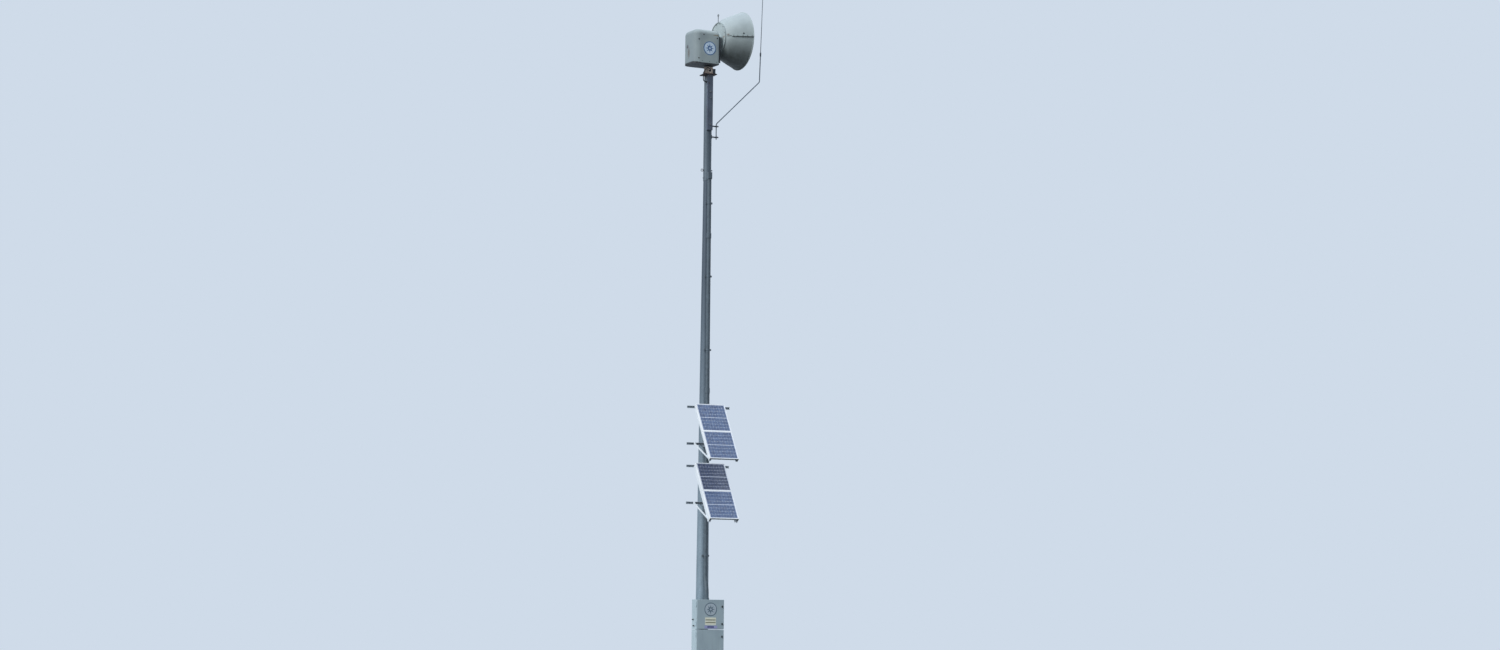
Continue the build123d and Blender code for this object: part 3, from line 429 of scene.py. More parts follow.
# The rust weeps down the tube and the channel.
weep_brown = "#2e2624"
tube_weep, channel_weep = 0.10, 0.07
overlay(tube_zinc, rising(plate_low.z - tube_weep, plate_low.z, 0.85), weep_brown)
overlay(bracket_paint, rising(plate_low.z - channel_weep, plate_low.z, 0.7), weep_brown)


# Head bearing: a cast iron housing, a ribbed drum on a foot ring, painted beige. Water from the head
# has streaked it with orange rust.

# Beige enamel on a rough casting: warm and pale, with orange-brown runs that thicken at the foot.
cast_beige = painted("rust_streaked_beige_paint", "#f1e5dc", "#dccdc1", "#9a6a4c", 0.07, 0.6)
foot_rust = 0.035
overlay(cast_beige, rising(plate_high.z + foot_rust, plate_high.z, 0.6), "#8a5b3e")
dress(cast_beige, "rotator_base")

foot_bolt_r, foot_thick, foot_bolt_count = 0.0865, 0.014, 12
foot_bolt_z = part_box("rotator_base")[0].z + foot_thick
foot_bolts = [(p, (0, 0, 1)) for p in ring(foot_bolt_r, foot_bolt_z, foot_bolt_count, math.radians(15))]
bolts("bearing_foot_bolts", foot_bolts, 0.010, "tower")

gear_low, gear_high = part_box("drive_gearbox")
gear_inset = 0.012
gear_spots = [(Vector((gear_high.x, y, z)), (1, 0, 0))
              for y in (gear_low.y + gear_inset, gear_high.y - gear_inset)
              for z in (gear_low.z + gear_inset, gear_high.z - gear_inset)]
bolts("gearbox_screws", gear_spots, 0.008, "tower")


# Flexible conduit: a corrugated black jacket over a steel spiral, with a nut at each end. It leaves
# the tube, passes the plate's corner and arches into the bearing.

def moulded(name, light, dark, gloss):
    """Weatherproof plastic, bleached a little and dusty."""
    finish, tree, shader, place = start_finish(name)
    cloud = patches(tree, place, 45.0, 1.5, 0.35, 0.7)
    coloured(tree, shader, dark, (cloud, light))
    dulled(tree, shader, cloud, gloss, gloss + 0.2)
    roughened(tree, shader, place, 1.5, 0.0004, 0.15)
    return finish


# PVC jacket, bleached by sun: near-black with a soft dusty sheen.
black_plastic = moulded("black_pvc_jacket", "#2c2f34", "#16181b", 0.5)
dress(black_plastic, "side_glands", "junction_boxes")

# A tube whose radius swells and shrinks along its route, once for each rib.
flex_tree, flex_in, flex_out = start_tree("corrugated_conduit", {
    "Radius": "NodeSocketFloat", "Bend": "NodeSocketFloat", "Pitch": "NodeSocketFloat",
    "Depth": "NodeSocketFloat", "Material": "NodeSocketMaterial"})
flex_line = add(flex_tree, "GeometryNodeMeshToCurve", {"Mesh": flex_in.outputs["Geometry"]})
flex_line = add(flex_tree, "GeometryNodeFilletCurve", {
    "Curve": flex_line.outputs[0], "Radius": flex_in.outputs["Bend"], "Count": 10, "Limit Radius": True},
    mode="POLY")
fine = add(flex_tree, "ShaderNodeMath", {0: flex_in.outputs["Pitch"], 1: 6.0}, operation="DIVIDE")
flex_line = add(flex_tree, "GeometryNodeResampleCurve", {
    "Curve": flex_line.outputs[0], "Length": fine.outputs[0]}, mode="LENGTH")
along = add(flex_tree, "GeometryNodeSplineParameter")
wave = add(flex_tree, "ShaderNodeMath", {
    0: along.outputs["Length"], 1: flex_in.outputs["Pitch"]}, operation="DIVIDE")
wave = add(flex_tree, "ShaderNodeMath", {0: wave.outputs[0], 1: 2 * math.pi}, operation="MULTIPLY")
wave = add(flex_tree, "ShaderNodeMath", {0: wave.outputs[0]}, operation="SINE")
wave = add(flex_tree, "ShaderNodeMath", {
    0: wave.outputs[0], 1: flex_in.outputs["Depth"], 2: flex_in.outputs["Radius"]}, operation="MULTIPLY_ADD")
flex_round = add(flex_tree, "GeometryNodeCurvePrimitiveCircle", {"Resolution": 14, "Radius": 1.0})
flex_skin = add(flex_tree, "GeometryNodeCurveToMesh", {
    "Curve": flex_line.outputs[0], "Profile Curve": flex_round.outputs[0], "Scale": wave.outputs[0],
    "Fill Caps": True})
flex_skin = add(flex_tree, "GeometryNodeSetShadeSmooth", {"Geometry": flex_skin.outputs[0]})
close_tree(flex_tree, flex_in, flex_out, flex_skin.outputs[0])

# The route leaves the tube square, turns up past the plate and drops into the bearing's front.
flex_aim = math.radians(-53)
flex_near = Vector((math.sin(flex_aim), -math.cos(flex_aim), 0))
flex_drop, flex_reach, entry_rise = 0.128, 0.170, 0.058
flex_low = Vector((0, 0, plate_low.z - flex_drop))
flex_seat, bearing_side = 0.0003, 0.0803
flex_route = [
    flex_near * (tube_r + flex_seat) + flex_low,
    flex_near * flex_reach + flex_low,
    flex_near * flex_reach + Vector((0, 0, plate_high.z + 0.010)),
    Vector((-0.064, -0.142, plate_high.z + 0.113)),
    Vector((0, -0.138, plate_high.z + entry_rise)),
    Vector((0, -bearing_side, plate_high.z + entry_rise)),
]
flex_mesh = grown("flexible_conduit", wire(flex_route), flex_tree, Radius=0.0083, Bend=0.04, Pitch=0.0072,
                  Depth=0.0007, Material=black_plastic)
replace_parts(piece("flexible_conduit", flex_mesh, "tower"), "flex_conduit")
bolts("flexible_conduit_nuts", [(flex_route[0], flex_near), (flex_route[-1], (0, -1, 0))], 0.025, "tower",
      finish=black_plastic)


# Chassis pan: folded sheet steel that carries the motor and closes the hood from below. Grime and old
# rust have turned its paint almost black.

# Grey paint under soot: matt, near black, with brown pricks.
pan_paint = painted("grimy_pan_paint", "#2c3033", "#1b1e21", "#2f2624", 0.10, 0.7)
dress(pan_paint, "chassis_pan")


# Siren housing: one moulded glass-fibre hood in grey-green gel coat over the motor. Its back is
# darkened by painted shade, and rust from the frame inside weeps at the rear corner.

head_yaw = math.radians(5.7)
head_turn = Matrix.Rotation(head_yaw, 4, "Z")


def upward(tree):
    """How far a face looks up: 1 straight up, and -1 straight down."""
    normal = add(tree, "ShaderNodeNewGeometry").outputs["Normal"]
    return add(tree, "ShaderNodeSeparateXYZ", {0: normal}).outputs["Z"]


def gel_coat(name, light, dark, chalk, grime_and_shade):
    """Weathered gel coat: chalked upward faces, downward streaks, faces that look down darkened partly by
    dirt and partly by painted shade, and a soft gloss.
    """
    finish, tree, shader, place = start_finish(name, Specular_IOR_Level=0.32)
    cloud = patches(tree, place, 210.0, 1.3, 0.3, 0.72)
    up = upward(tree)
    top = add(tree, "ShaderNodeMapRange", {0: up, 1: 0.1, 2: 0.9, 4: 0.6}).outputs[0]
    run = patches(tree, place, 90.0, 4.0, 0.25, 0.8, 3.0)
    run = add(tree, "ShaderNodeMapRange", {0: run, 3: 0.6, 4: 1.0}).outputs[0]
    # Faces that look down are darkened: dirt in streaks, and painted shade.
    under = add(tree, "ShaderNodeMapRange", {0: up, 1: -0.05, 2: -0.88, 3: 0.06, 4: 0.97})
    dirt_and_shade = add(tree, "ShaderNodeMath", {0: run, 1: under.outputs[0]}, operation="MULTIPLY").outputs[0]
    coloured(tree, shader, dark, (cloud, light), (top, chalk), (dirt_and_shade, grime_and_shade))
    dulled(tree, shader, cloud, 0.5, 0.68)
    roughened(tree, shader, place, 60.0, 0.004, 0.12)
    return finish


def weep(spot, reach):
    """A ragged stain round a spot of the turning head, as wide and as long as its reach."""
    def shares(tree, place):
        centred = add(tree, "ShaderNodeMapping", {
            "Vector": place, "Location": tuple(head_turn @ Vector(spot)), "Rotation": (0, 0, head_yaw),
            "Scale": reach}, vector_type="TEXTURE")
        away = add(tree, "ShaderNodeVectorMath", {0: centred.outputs[0]}, operation="LENGTH").outputs["Value"]
        ragged = add(tree, "ShaderNodeTexNoise", {"Vector": place, "Scale": 1000.0 / 22.0, "Detail": 6.0})
        edge = add(tree, "ShaderNodeMath", {
            0: ragged.outputs["Fac"], 1: 1.3, 2: away}, operation="MULTIPLY_ADD")
        return add(tree, "ShaderNodeMapRange", {0: edge.outputs[0], 1: 1.55, 2: 0.95, 4: 0.85}).outputs[0]
    return shares


def head_spot(tree, place):
    """A place's X, Y and Z as if the horn pointed along X."""
    turned = add(tree, "ShaderNodeMapping", {
        "Vector": place, "Rotation": (0, 0, head_yaw)}, vector_type="TEXTURE").outputs[0]
    return add(tree, "ShaderNodeSeparateXYZ", {0: turned}).outputs


def backwards(start, end, most):
    """A share that grows towards the head's back, from one distance behind the pole to another."""
    def shares(tree, place):
        along_head = head_spot(tree, place)["X"]
        return add(tree, "ShaderNodeMapRange", {0: along_head, 1: start, 2: end, 4: most}).outputs[0]
    return shares


# Glass-fibre gel coat, chalked by sun: a dull grey-green skin with soft clouds about 210 mm wide.
hood_coat = gel_coat("chalked_gel_coat", "#a9b8ba", "#93a1a6", "#b4c2c8", "#5f6662")

# The hood's faces and its upright and upper edges' radii, as if the horn pointed along X.
hood_low, hood_high = [end.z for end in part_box("housing_cover")]
hood_back, hood_front, hood_half = -0.397, 0.107, 0.230
rear_r, crown_r = 0.120, 0.090
stain_x = hood_back + 0.01
# Painted shade: the coat darkens towards the hood's rounded back.
overlay(hood_coat, backwards(hood_back + rear_r, stain_x, 0.62), "#66727a")
# A rust spot on the back, the dirt that runs from it, and a stain under the crown by the horn.
overlay(hood_coat, weep((stain_x, 0.05, hood_low + 0.31), (0.05, 0.045, 0.05)), "#33262e")
overlay(hood_coat, weep((stain_x, 0.0, hood_low + 0.19), (0.05, 0.06, 0.13)), "#5f5a57")
overlay(hood_coat, weep((0.035, -hood_half, hood_high - 0.095), (0.09, 0.05, 0.018)), "#8a7c5c")
foot_run, foot_rise, foot_blur = 0.13, 0.02, 0.005


def rear_foot_shade(tree, place):
    """A share for a band of painted shade that rises along the foot of the hood's back, standing in for its
    shaded underside.
    """
    spot = head_spot(tree, place)
    rise = add(tree, "ShaderNodeMapRange", {
        0: spot["X"], 1: hood_back + foot_run, 2: hood_back, 4: foot_rise})
    above = add(tree, "ShaderNodeMath", {0: spot["Z"], 1: rise.outputs[0]}, operation="SUBTRACT")
    return add(tree, "ShaderNodeMapRange", {
        0: above.outputs[0], 1: hood_low + foot_blur, 2: hood_low - foot_blur, 4: 0.92}).outputs[0]


# Painted shade: a dark band along the foot of the hood's back.
overlay(hood_coat, rear_foot_shade, "#202329")
dress(hood_coat, "housing_cover")

# The same gel coat with painted light: made paler on the neck, which lies in the hood's shadow; hardly
# chalked.
neck_lightened_coat = gel_coat("sheltered_gel_coat", "#c9d6da", "#b6c4c9", "#c9d6da", "#6f7471")
dress(neck_lightened_coat, "horn_neck")

# EPDM rubber, greyed by sun: matt, with no edge that shines.
rubber = moulded("weathered_black_rubber", "#2a2b33", "#17181d", 0.75)

# A dark rubber strip stands out of the hood's front face, up one side, over the top and down the other.
seal_half, seal_r, seal_deep, seal_thick, seal_foot = 0.180, 0.062, 0.030, 0.010, 0.03
seal_top, seal_steps, seal_seat = hood_high - crown_r, 12, 0.0002
near_side = [(Vector((0, -seal_half, hood_low + seal_foot)), Vector((0, -1, 0)))]
for n in range(seal_steps + 1):
    a = math.radians(90 * n / seal_steps)
    out = Vector((0, -math.cos(a), math.sin(a)))
    near_side.append((Vector((0, seal_r - seal_half, seal_top - seal_r)) + out * seal_r, out))
far_side = [(Vector((0, -p.y, p.z)), Vector((0, -out.y, out.z))) for p, out in reversed(near_side)]
front_strip_mesh = band("hood_front_seal", near_side + far_side, Vector((seal_deep, 0, 0)), seal_thick, rubber)
piece("hood_front_seal", front_strip_mesh, "head",
      head_turn @ Matrix.Translation((hood_front + seal_deep / 2 + seal_seat, 0, 0)))

# Domed screws hold the hood to its frame, each on a thin round washer.
screw_tree, screw_in, screw_out = start_tree("domed_screws", {
    "Radius": "NodeSocketFloat", "Material": "NodeSocketMaterial"})
dome = add(screw_tree, "GeometryNodeMeshUVSphere", {
    "Segments": 14, "Rings": 7, "Radius": screw_in.outputs["Radius"]})
dome = add(screw_tree, "GeometryNodeTransform", {"Geometry": dome.outputs[0], "Scale": (1.0, 1.0, 0.45)})
dome = add(screw_tree, "GeometryNodeSetShadeSmooth", {"Geometry": dome.outputs[0]})
under_r = add(screw_tree, "ShaderNodeMath", {0: screw_in.outputs["Radius"], 1: 1.45}, operation="MULTIPLY")
under_head = add(screw_tree, "GeometryNodeMeshCylinder", {
    "Vertices": 18, "Radius": under_r.outputs[0], "Depth": 0.002})
screw_shape = add(screw_tree, "GeometryNodeJoinGeometry")
for part in (under_head, dome):
    screw_tree.links.new(part.outputs[0], screw_shape.inputs[0])
screws_laid = add(screw_tree, "GeometryNodeInstanceOnPoints", {
    "Points": screw_in.outputs["Geometry"], "Instance": screw_shape.outputs[0],
    "Rotation": facing(screw_tree)})
close_tree(screw_tree, screw_in, screw_out, screws_laid.outputs[0])


def screws(name, spots, width, body, place=None, finish=bolt_zinc):
    """Domed screw heads at points that face outwards."""
    mesh = grown(name, spots_mesh(spots), screw_tree, Radius=width / 2, Material=finish)
    return piece(name, mesh, body, place)


# Steel with a black oxide skin: dark, faintly shiny, browned in specks.
dark_steel = plated("blackened_steel", "#3d4144", "#232628", "#4b342a")
rim_rise = 0.030
rim_spots = [(Vector((x, side * hood_half, hood_low + rim_rise)), Vector((0, side, 0))) for side in (-1, 1)
             for x in (-0.24, -0.10, 0.04)]
side_spots = [(Vector((x, side * hood_half, hood_low + rise)), Vector((0, side, 0))) for side in (-1, 1)
              for x, rise in ((-0.218, 0.504), (0.053, 0.459))]
corner_turn = math.radians(16)
corner_out = Vector((-math.sin(corner_turn), -math.cos(corner_turn), 0))
corner_foot = Vector((hood_back + rear_r, -hood_half + rear_r, hood_low)) + corner_out * rear_r
side_spots += [(corner_foot + Vector((0, 0, rise)), corner_out) for rise in (0.073, 0.414)]
screws("hood_screws", rim_spots, 0.009, "head", head_turn, dark_steel)
screws("hood_side_screws", side_spots, 0.017, "head", head_turn, dark_steel)


# Roundel on the hood's side: layers of vinyl film stuck on one another, a ring round a pale field
# with a plain eight-pointed star, faded by the sun.

def vinyl(name, colour, faded):
    """Printed vinyl film, faded in soft patches and still a little glossy."""
    finish, tree, shader, place = start_finish(name, Roughness=0.42)
    cloud = patches(tree, place, 60.0, 1.5, 0.35, 0.75)
    coloured(tree, shader, colour, (cloud, faded))
    return finish


def star(reach, waist, tips):
    """Points round a plain star with one tip up."""
    turns = [math.pi * n / tips for n in range(2 * tips)]
    sizes = [reach if n % 2 == 0 else waist for n in range(2 * tips)]
    return [Vector((-size * math.sin(a), size * math.cos(a), 0)) for size, a in zip(sizes, turns)]


def slab(outline, low, high, start=0):
    """Points and faces of an outline drawn up between two levels. Start is how many points come before."""
    count = len(outline)
    top = start + count
    points = [Vector((p.x, p.y, z)) for z in (low, high) for p in outline]
    faces = [tuple(range(top, top + count)), tuple(reversed(range(start, top)))]
    faces += [(start + n, start + (n + 1) % count, top + (n + 1) % count, top + n) for n in range(count)]
    return points, faces


def roundel(name, radius, ring_finish, field_finish, body, place):
    """A ring, a pale field, a plain star and a dot, each a layer of film on the one below."""
    film, steps = 0.0006, 72
    field_r, reach, waist, dot_r = radius * 0.87, radius * 0.66, radius * 0.28, radius * 0.15
    layers = [(ring(radius, 0, steps), 0), (ring(field_r, 0, steps), 1), (star(reach, waist, 8), 0),
              (ring(dot_r, 0, steps), 1)]
    points, faces, marks = [], [], []
    for level, (outline, mark) in enumerate(layers):
        layer_points, layer_faces = slab(outline, level * film, (level + 1) * film, len(points))
        points += layer_points
        faces += layer_faces
        marks += [mark] * len(layer_faces)
    return piece(name, solid(name, points, faces, ring_finish, field_finish, marks=marks), body, place)


# Blue and white outdoor film, paler where the sun reaches it.
vinyl_blue = vinyl("faded_blue_vinyl", "#2b5288", "#5580ae")
vinyl_pale = vinyl("faded_pale_vinyl", "#b9d5f0", "#d2e3f1")
face_front = Matrix.Rotation(math.radians(90), 4, "X")
film_seat = 0.0001
roundel("hood_roundel", 0.124, vinyl_blue, vinyl_pale, "head",
        head_turn @ Matrix.Translation((-0.098, -hood_half - film_seat, hood_low + 0.266)) @ face_front)


# Horn: two moulded glass-fibre halves bolted together along side flanges and to a round back plate.
# The upper half is chalked pale; the lower hangs in its own shade, and its coat is darkened there by dirt and
# by painted shade.

# The same gel coat, dirtier: soft streaks about 90 mm apart, and a dark brown on the underside that is partly
# dirt and partly painted shade.
horn_coat = gel_coat("weathered_horn_gel_coat", "#a6b4b7", "#909da0", "#b0bec6", "#38362f")
plate_x, plate_r, mouth_r, horn_depth, flare = 0.197, 0.292, 0.516, 0.433, 0.72
horn_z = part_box("horn_upper")[0].z
# Rust stains where the flange starts and on the back plate's edge.
overlay(horn_coat, weep((0.222, -0.318, horn_z + 0.025), (0.035, 0.06, 0.022)), "#5c4a40")
overlay(horn_coat, weep((plate_x - 0.01, -0.225, horn_z - 0.005), (0.03, 0.045, 0.03)), "#7c6d5c")
dress(horn_coat, "horn_upper", "horn_lower", "horn_back_plate")


def horn_radius(reach):
    """Outside radius of the horn at a distance in front of its back plate."""
    return plate_r + (mouth_r - plate_r) * (reach / horn_depth) ** flare


flange_middle, flange_thick = 0.0125, 0.006
flange_spots = []
for side in (-1, 1):
    for reach in (0.10, 0.163, 0.25, 0.325, 0.40):
        y = side * (horn_radius(reach) + flange_middle)
        flange_spots += [(Vector((plate_x + reach, y, horn_z + up * flange_thick)), (0, 0, up))
                         for up in (-1, 1)]
bolts("horn_flange_bolts", flange_spots, 0.016, "head", head_turn, dark_steel)

# Between the flanges and the back plate the two halves meet in a plain sealed joint.
joint_width, joint_proud, joint_sunk = Vector((0, 0, 0.007)), 0.0035, 0.001
for name, side in (("near", -1), ("far", 1)):
    joint_line = [(Vector((plate_x + reach, side * (horn_radius(reach) - joint_sunk), horn_z)), (0, side, 0))
                  for reach in (0.012, 0.025, 0.04, 0.055, 0.075, 0.095)]
    piece(f"horn_joint_{name}", band("horn_joint", joint_line, joint_width, joint_proud, rubber), "head",
          head_turn)

# One larger screw plugs a hole in each side of the upper half.
plug_reach, plug_rise = 0.268, 0.048
plug_y = math.sqrt(horn_radius(plug_reach) ** 2 - plug_rise ** 2)
plug_spots = [(Vector((plate_x + plug_reach, side * plug_y, horn_z + plug_rise)), (-0.4, side, 0.1))
              for side in (-1, 1)]
screws("horn_side_screws", plug_spots, 0.022, "head", head_turn, dark_steel)

plate_back, bolt_circle, first_bolt = plate_x - 0.012, 0.262, 0.26
back_spots = [(Vector((plate_back, p.x, p.y + horn_z)), (-1, 0, 0))
              for p in ring(bolt_circle, 0, 12, first_bolt)]
bolts("back_plate_bolts", back_spots, 0.012, "head", head_turn, seed=3)


# Sound chopper in the throat: a ported ring and the ported drum that turns inside it, both sand-cast
# aluminium and left bare.

# Sand-cast skin, grey with oxide: grains about 3 mm across.
cast_metal = galvanised("cast_aluminium", "#8a8e90", "#6c7173", 3.0, "#989c9e", 0.6)
dress(cast_metal, "throat_stator", "chopper_rotor")


# Antenna: a bent aluminium tube for a mast, held in two clamps on arms, and a glass-fibre whip in a
# ferrule at its top. Each arm is bolted to the tube through a curved saddle.

def drawn_tube(name, light, dark, metal, gloss):
    """Extruded tube, dull from the weather, with fine lines along it."""
    finish, tree, shader, place = start_finish(name, Metallic=metal)
    line = patches(tree, place, 5.0, 60.0, 0.35, 0.65)
    cloud = patches(tree, place, 150.0, 2.0, 0.3, 0.7)
    tone = add(tree, "ShaderNodeMix", {0: 0.5, 2: line, 3: cloud}).outputs[0]
    coloured(tree, shader, dark, (tone, light))
    dulled(tree, shader, cloud, gloss, gloss + 0.15)
    return finish


# Bare aluminium tube: a grey oxide skin with the faint lines of its drawing.
mast_metal = drawn_tube("dull_aluminium_tube", "#7c8894", "#56616c", 0.4, 0.45)
# Glass-fibre rod: grey resin, matt, with fibres that show as fine lines.
whip_glass = drawn_tube("weathered_fibreglass_rod", "#6f7984", "#56606a", 0.0, 0.55)
dress(mast_metal, "antenna_mast")
dress(whip_glass, "antenna_whip")

pin_x, clamp_front, clamp_side = 0.163, -0.019, 0.0135
tube_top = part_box("pole_upper")[1].z
arm_zs = [tube_top - drop for drop in (1.103, 0.908)]
clamp_spots = [(Vector((x, clamp_front, z)), (0, -1, 0)) for z in arm_zs
               for x in (pin_x - clamp_side, pin_x + clamp_side)]
bolts("antenna_clamp_bolts", clamp_spots, 0.008, "tower")
saddle_face, saddle_side, saddle_up = tube_r + 0.006, 0.012, 0.02
saddle_spots = [(Vector((saddle_face, y, z + up)), (1, 0, 0)) for z in arm_zs
                for y in (-saddle_side, saddle_side) for up in (-saddle_up, saddle_up)]
bolts("antenna_saddle_bolts", saddle_spots, 0.010, "tower")


# Main conduit: rigid steel tube in a dark grey plastic coat, strapped to the front of the pole. A
# hub joins it to the cabinet, and a cast elbow with a screwed cover turns it into the tube.

# PVC coat on steel: satin dark blue-grey, bleached in soft patches.
conduit_coat = moulded("grey_coated_conduit", "#51606b", "#404d57", 0.5)
dress(conduit_coat, "conduit_riser", "conduit_hub", "conduit_elbow")

conduit_r, conduit_gap = 0.0365, 0.006


def conduit_y(z):
    """Place of the conduit's axis in front of the pole's."""
    return -(pole_radius(z) + conduit_gap + conduit_r)


def lathed(name, profile, finish, steps=32):
    """A turned ring about the Z axis, from a closed profile of radii and heights."""
    points, faces = [], []
    for r, z in profile:
        points += ring(r, z, steps)
    rows = len(profile)
    for row in range(rows):
        here, there = row * steps, (row + 1) % rows * steps
        faces += [(here + n, here + (n + 1) % steps, there + (n + 1) % steps, there + n)
                  for n in range(steps)]
    return solid(name, points, faces, finish)


lean = math.atan2(foot_r - joint_r, joint_z)
collar_bore, collar_r, collar_half, collar_edge = conduit_r - 0.0002, conduit_r + 0.0068, 0.045, 0.003
collar_profile = [(collar_bore, -collar_half), (collar_r - collar_edge, -collar_half),
                  (collar_r, -collar_half + collar_edge), (collar_r, collar_half - collar_edge),
                  (collar_r - collar_edge, collar_half), (collar_bore, collar_half)]
for n, z in enumerate((5.58, 8.32)):
    collar_place = Matrix.Translation((0, conduit_y(z), z)) @ Matrix.Rotation(-lean, 4, "X")
    piece(f"conduit_coupling_{n + 1}", lathed("coupling", collar_profile, conduit_coat), "tower",
          collar_place)

strap_zs, strap_ear, strap_back = (2.7, 3.93, 4.96, 6.3, 7.6, 8.9), 0.053, 0.004
strap_spots = [(Vector((x, conduit_y(z) + strap_back, z)), (0, -1, 0)) for z in strap_zs
               for x in (-strap_ear, strap_ear)]
bolts("strap_bolts", strap_spots, 0.011, "tower", seed=5)
elbow_low, elbow_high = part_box("conduit_elbow")
cover_inset = 0.022
cover_spots = [(Vector((0, elbow_low.y, z)), (0, -1, 0))
               for z in (elbow_low.z + cover_inset, elbow_high.z - cover_inset)]
bolts("elbow_cover_screws", cover_spots, 0.009, "tower")


# Panel mounts: strut channel, bent cleats and flat bars, all cut to length, bolted and galvanised
# later than the pole, so most of them are brighter.

# New zinc, still near white: spangle about 9 mm across.
strut_zinc = galvanised("bright_galvanised_strut", "#dde5ec", "#c6d0d8", 9.0, "#e6ecf1", 0.15)
dress(strut_zinc, "panel_rails", "panel_cleats", "panel_struts")
# The same zinc on the older arms: grey, with the spangle nearly gone.
arm_zinc = galvanised("aged_galvanised_strut", "#9aa5ad", "#76828b", 9.0, "#b0bac1")
dress(arm_zinc, "cross_arms", "pole_standoffs", "cabinet_rails")


# Solar panels: each holds two modules in a clear-anodised aluminium frame. Dark blue cells with white
# gaps lie on a white sheet under glass, and screws join the frame at its corners and middle bar.

def anodised(name, light, dark):
    """Clear anodised extrusion: bright, even and satin."""
    finish, tree, shader, place = start_finish(name, Metallic=0.12)
    cloud = patches(tree, place, 90.0, 1.0, 0.3, 0.7)
    coloured(tree, shader, dark, (cloud, light))
    dulled(tree, shader, cloud, 0.36, 0.5)
    return finish


def painted_underside_shade(most):
    """A share for faces that look down, darkened as painted shade in soft patches."""
    def shares(tree, place):
        shade_blotches = patches(tree, place, 30.0, 1.0, 0.2, 0.6)
        down = add(tree, "ShaderNodeMapRange", {0: upward(tree), 1: -0.4, 2: -0.8, 4: most}).outputs[0]
        return add(tree, "ShaderNodeMath", {0: down, 1: shade_blotches}, operation="MULTIPLY").outputs[0]
    return shares


# Clear anodised extrusion: near white and satin, with painted shade in grey-green on faces that look down.
frame_metal = anodised("clear_anodised_aluminium", "#f0f5fa", "#e0e7ee")
overlay(frame_metal, painted_underside_shade(0.9), "#4c5a55")
dress(frame_metal, "panel_frames")


def glazed(name, light, dark, patch):
    """A flat colour seen through clear glass: even, with a hard smooth gloss over it."""
    finish, tree, shader, place = start_finish(name, Roughness=0.4, Coat_Weight=0.6, Coat_Roughness=0.1)
    cloud = patches(tree, place, patch, 1.0, 0.3, 0.7)
    coloured(tree, shader, dark, (cloud, light))
    return finish


# Silicon under tempered glass: slate blue that drifts in patches about a cell wide, with pale wires
# laid over it. The lower panel's top module is darker than the rest: a painted reflection.
back_sheet = glazed("white_sheet_under_glass", "#ccd6e8", "#bcc8dc", 120.0)
reflected_dark_cells = glazed("navy_silicon_under_glass", "#414d6b", "#2a334a", 52.0)
cell_blue = glazed("blue_silicon_under_glass", "#526a92", "#38496b", 52.0)
bus_silver = glazed("silver_bus_wire_under_glass", "#8d9bbd", "#7d8bb0", 60.0)
dress(back_sheet, "panel_laminates")

# A panel's tilt and size, its frame's lips and middle bar, and the margins round and amid the cells.
panel_tilt = math.radians(35)
panel_w, panel_l = 0.540, 1.200
lip, mid_bar = 0.011, 0.026
module_l = (panel_l - 2 * lip - mid_bar) / 2
module_w = panel_w - 2 * lip
side_margin, end_margin, half_gap = 0.012, 0.008, 0.004
cell_cols, cell_rows = 10, 8
glass_drop = 0.002

# Thin plates with clipped corners in rows and columns, with a wider gap across the middle.
cell_tree, cell_in, cell_out = start_tree("solar_cells", {
    "Columns": "NodeSocketInt", "Rows": "NodeSocketInt",
    "Width": "NodeSocketFloat", "Length": "NodeSocketFloat",
    "Cell width": "NodeSocketFloat", "Cell length": "NodeSocketFloat", "Corner": "NodeSocketFloat",
    "Middle gap": "NodeSocketFloat", "Thick": "NodeSocketFloat", "Material": "NodeSocketMaterial"})
cell_grid = add(cell_tree, "GeometryNodeMeshGrid", {
    "Size X": cell_in.outputs["Width"], "Size Y": cell_in.outputs["Length"],
    "Vertices X": cell_in.outputs["Columns"], "Vertices Y": cell_in.outputs["Rows"]})
cell_at = add(cell_tree, "GeometryNodeInputPosition")
cell_spot = add(cell_tree, "ShaderNodeSeparateXYZ", {0: cell_at.outputs[0]})
cell_side = add(cell_tree, "ShaderNodeMath", {0: cell_spot.outputs["Y"]}, operation="SIGN")
cell_push = add(cell_tree, "ShaderNodeMath", {0: cell_side.outputs[0], 1: cell_in.outputs["Middle gap"]},
                operation="MULTIPLY")
cell_push = add(cell_tree, "ShaderNodeCombineXYZ", {"Y": cell_push.outputs[0]})
cell_grid = add(cell_tree, "GeometryNodeSetPosition", {
    "Geometry": cell_grid.outputs[0], "Offset": cell_push.outputs[0]})
cell_edge = add(cell_tree, "GeometryNodeCurvePrimitiveQuadrilateral", {
    "Width": cell_in.outputs["Cell width"], "Height": cell_in.outputs["Cell length"]})
cell_edge = add(cell_tree, "GeometryNodeFilletCurve", {
    "Curve": cell_edge.outputs[0], "Radius": cell_in.outputs["Corner"], "Count": 1}, mode="POLY")
cell_face = add(cell_tree, "GeometryNodeFillCurve", {"Curve": cell_edge.outputs[0]}, mode="NGONS")
cell_body = add(cell_tree, "GeometryNodeExtrudeMesh", {
    "Mesh": cell_face.outputs[0], "Offset Scale": cell_in.outputs["Thick"]}, mode="FACES")
cells_laid = add(cell_tree, "GeometryNodeInstanceOnPoints", {
    "Points": cell_grid.outputs[0], "Instance": cell_body.outputs[0]})
close_tree(cell_tree, cell_in, cell_out, cells_laid.outputs[0])

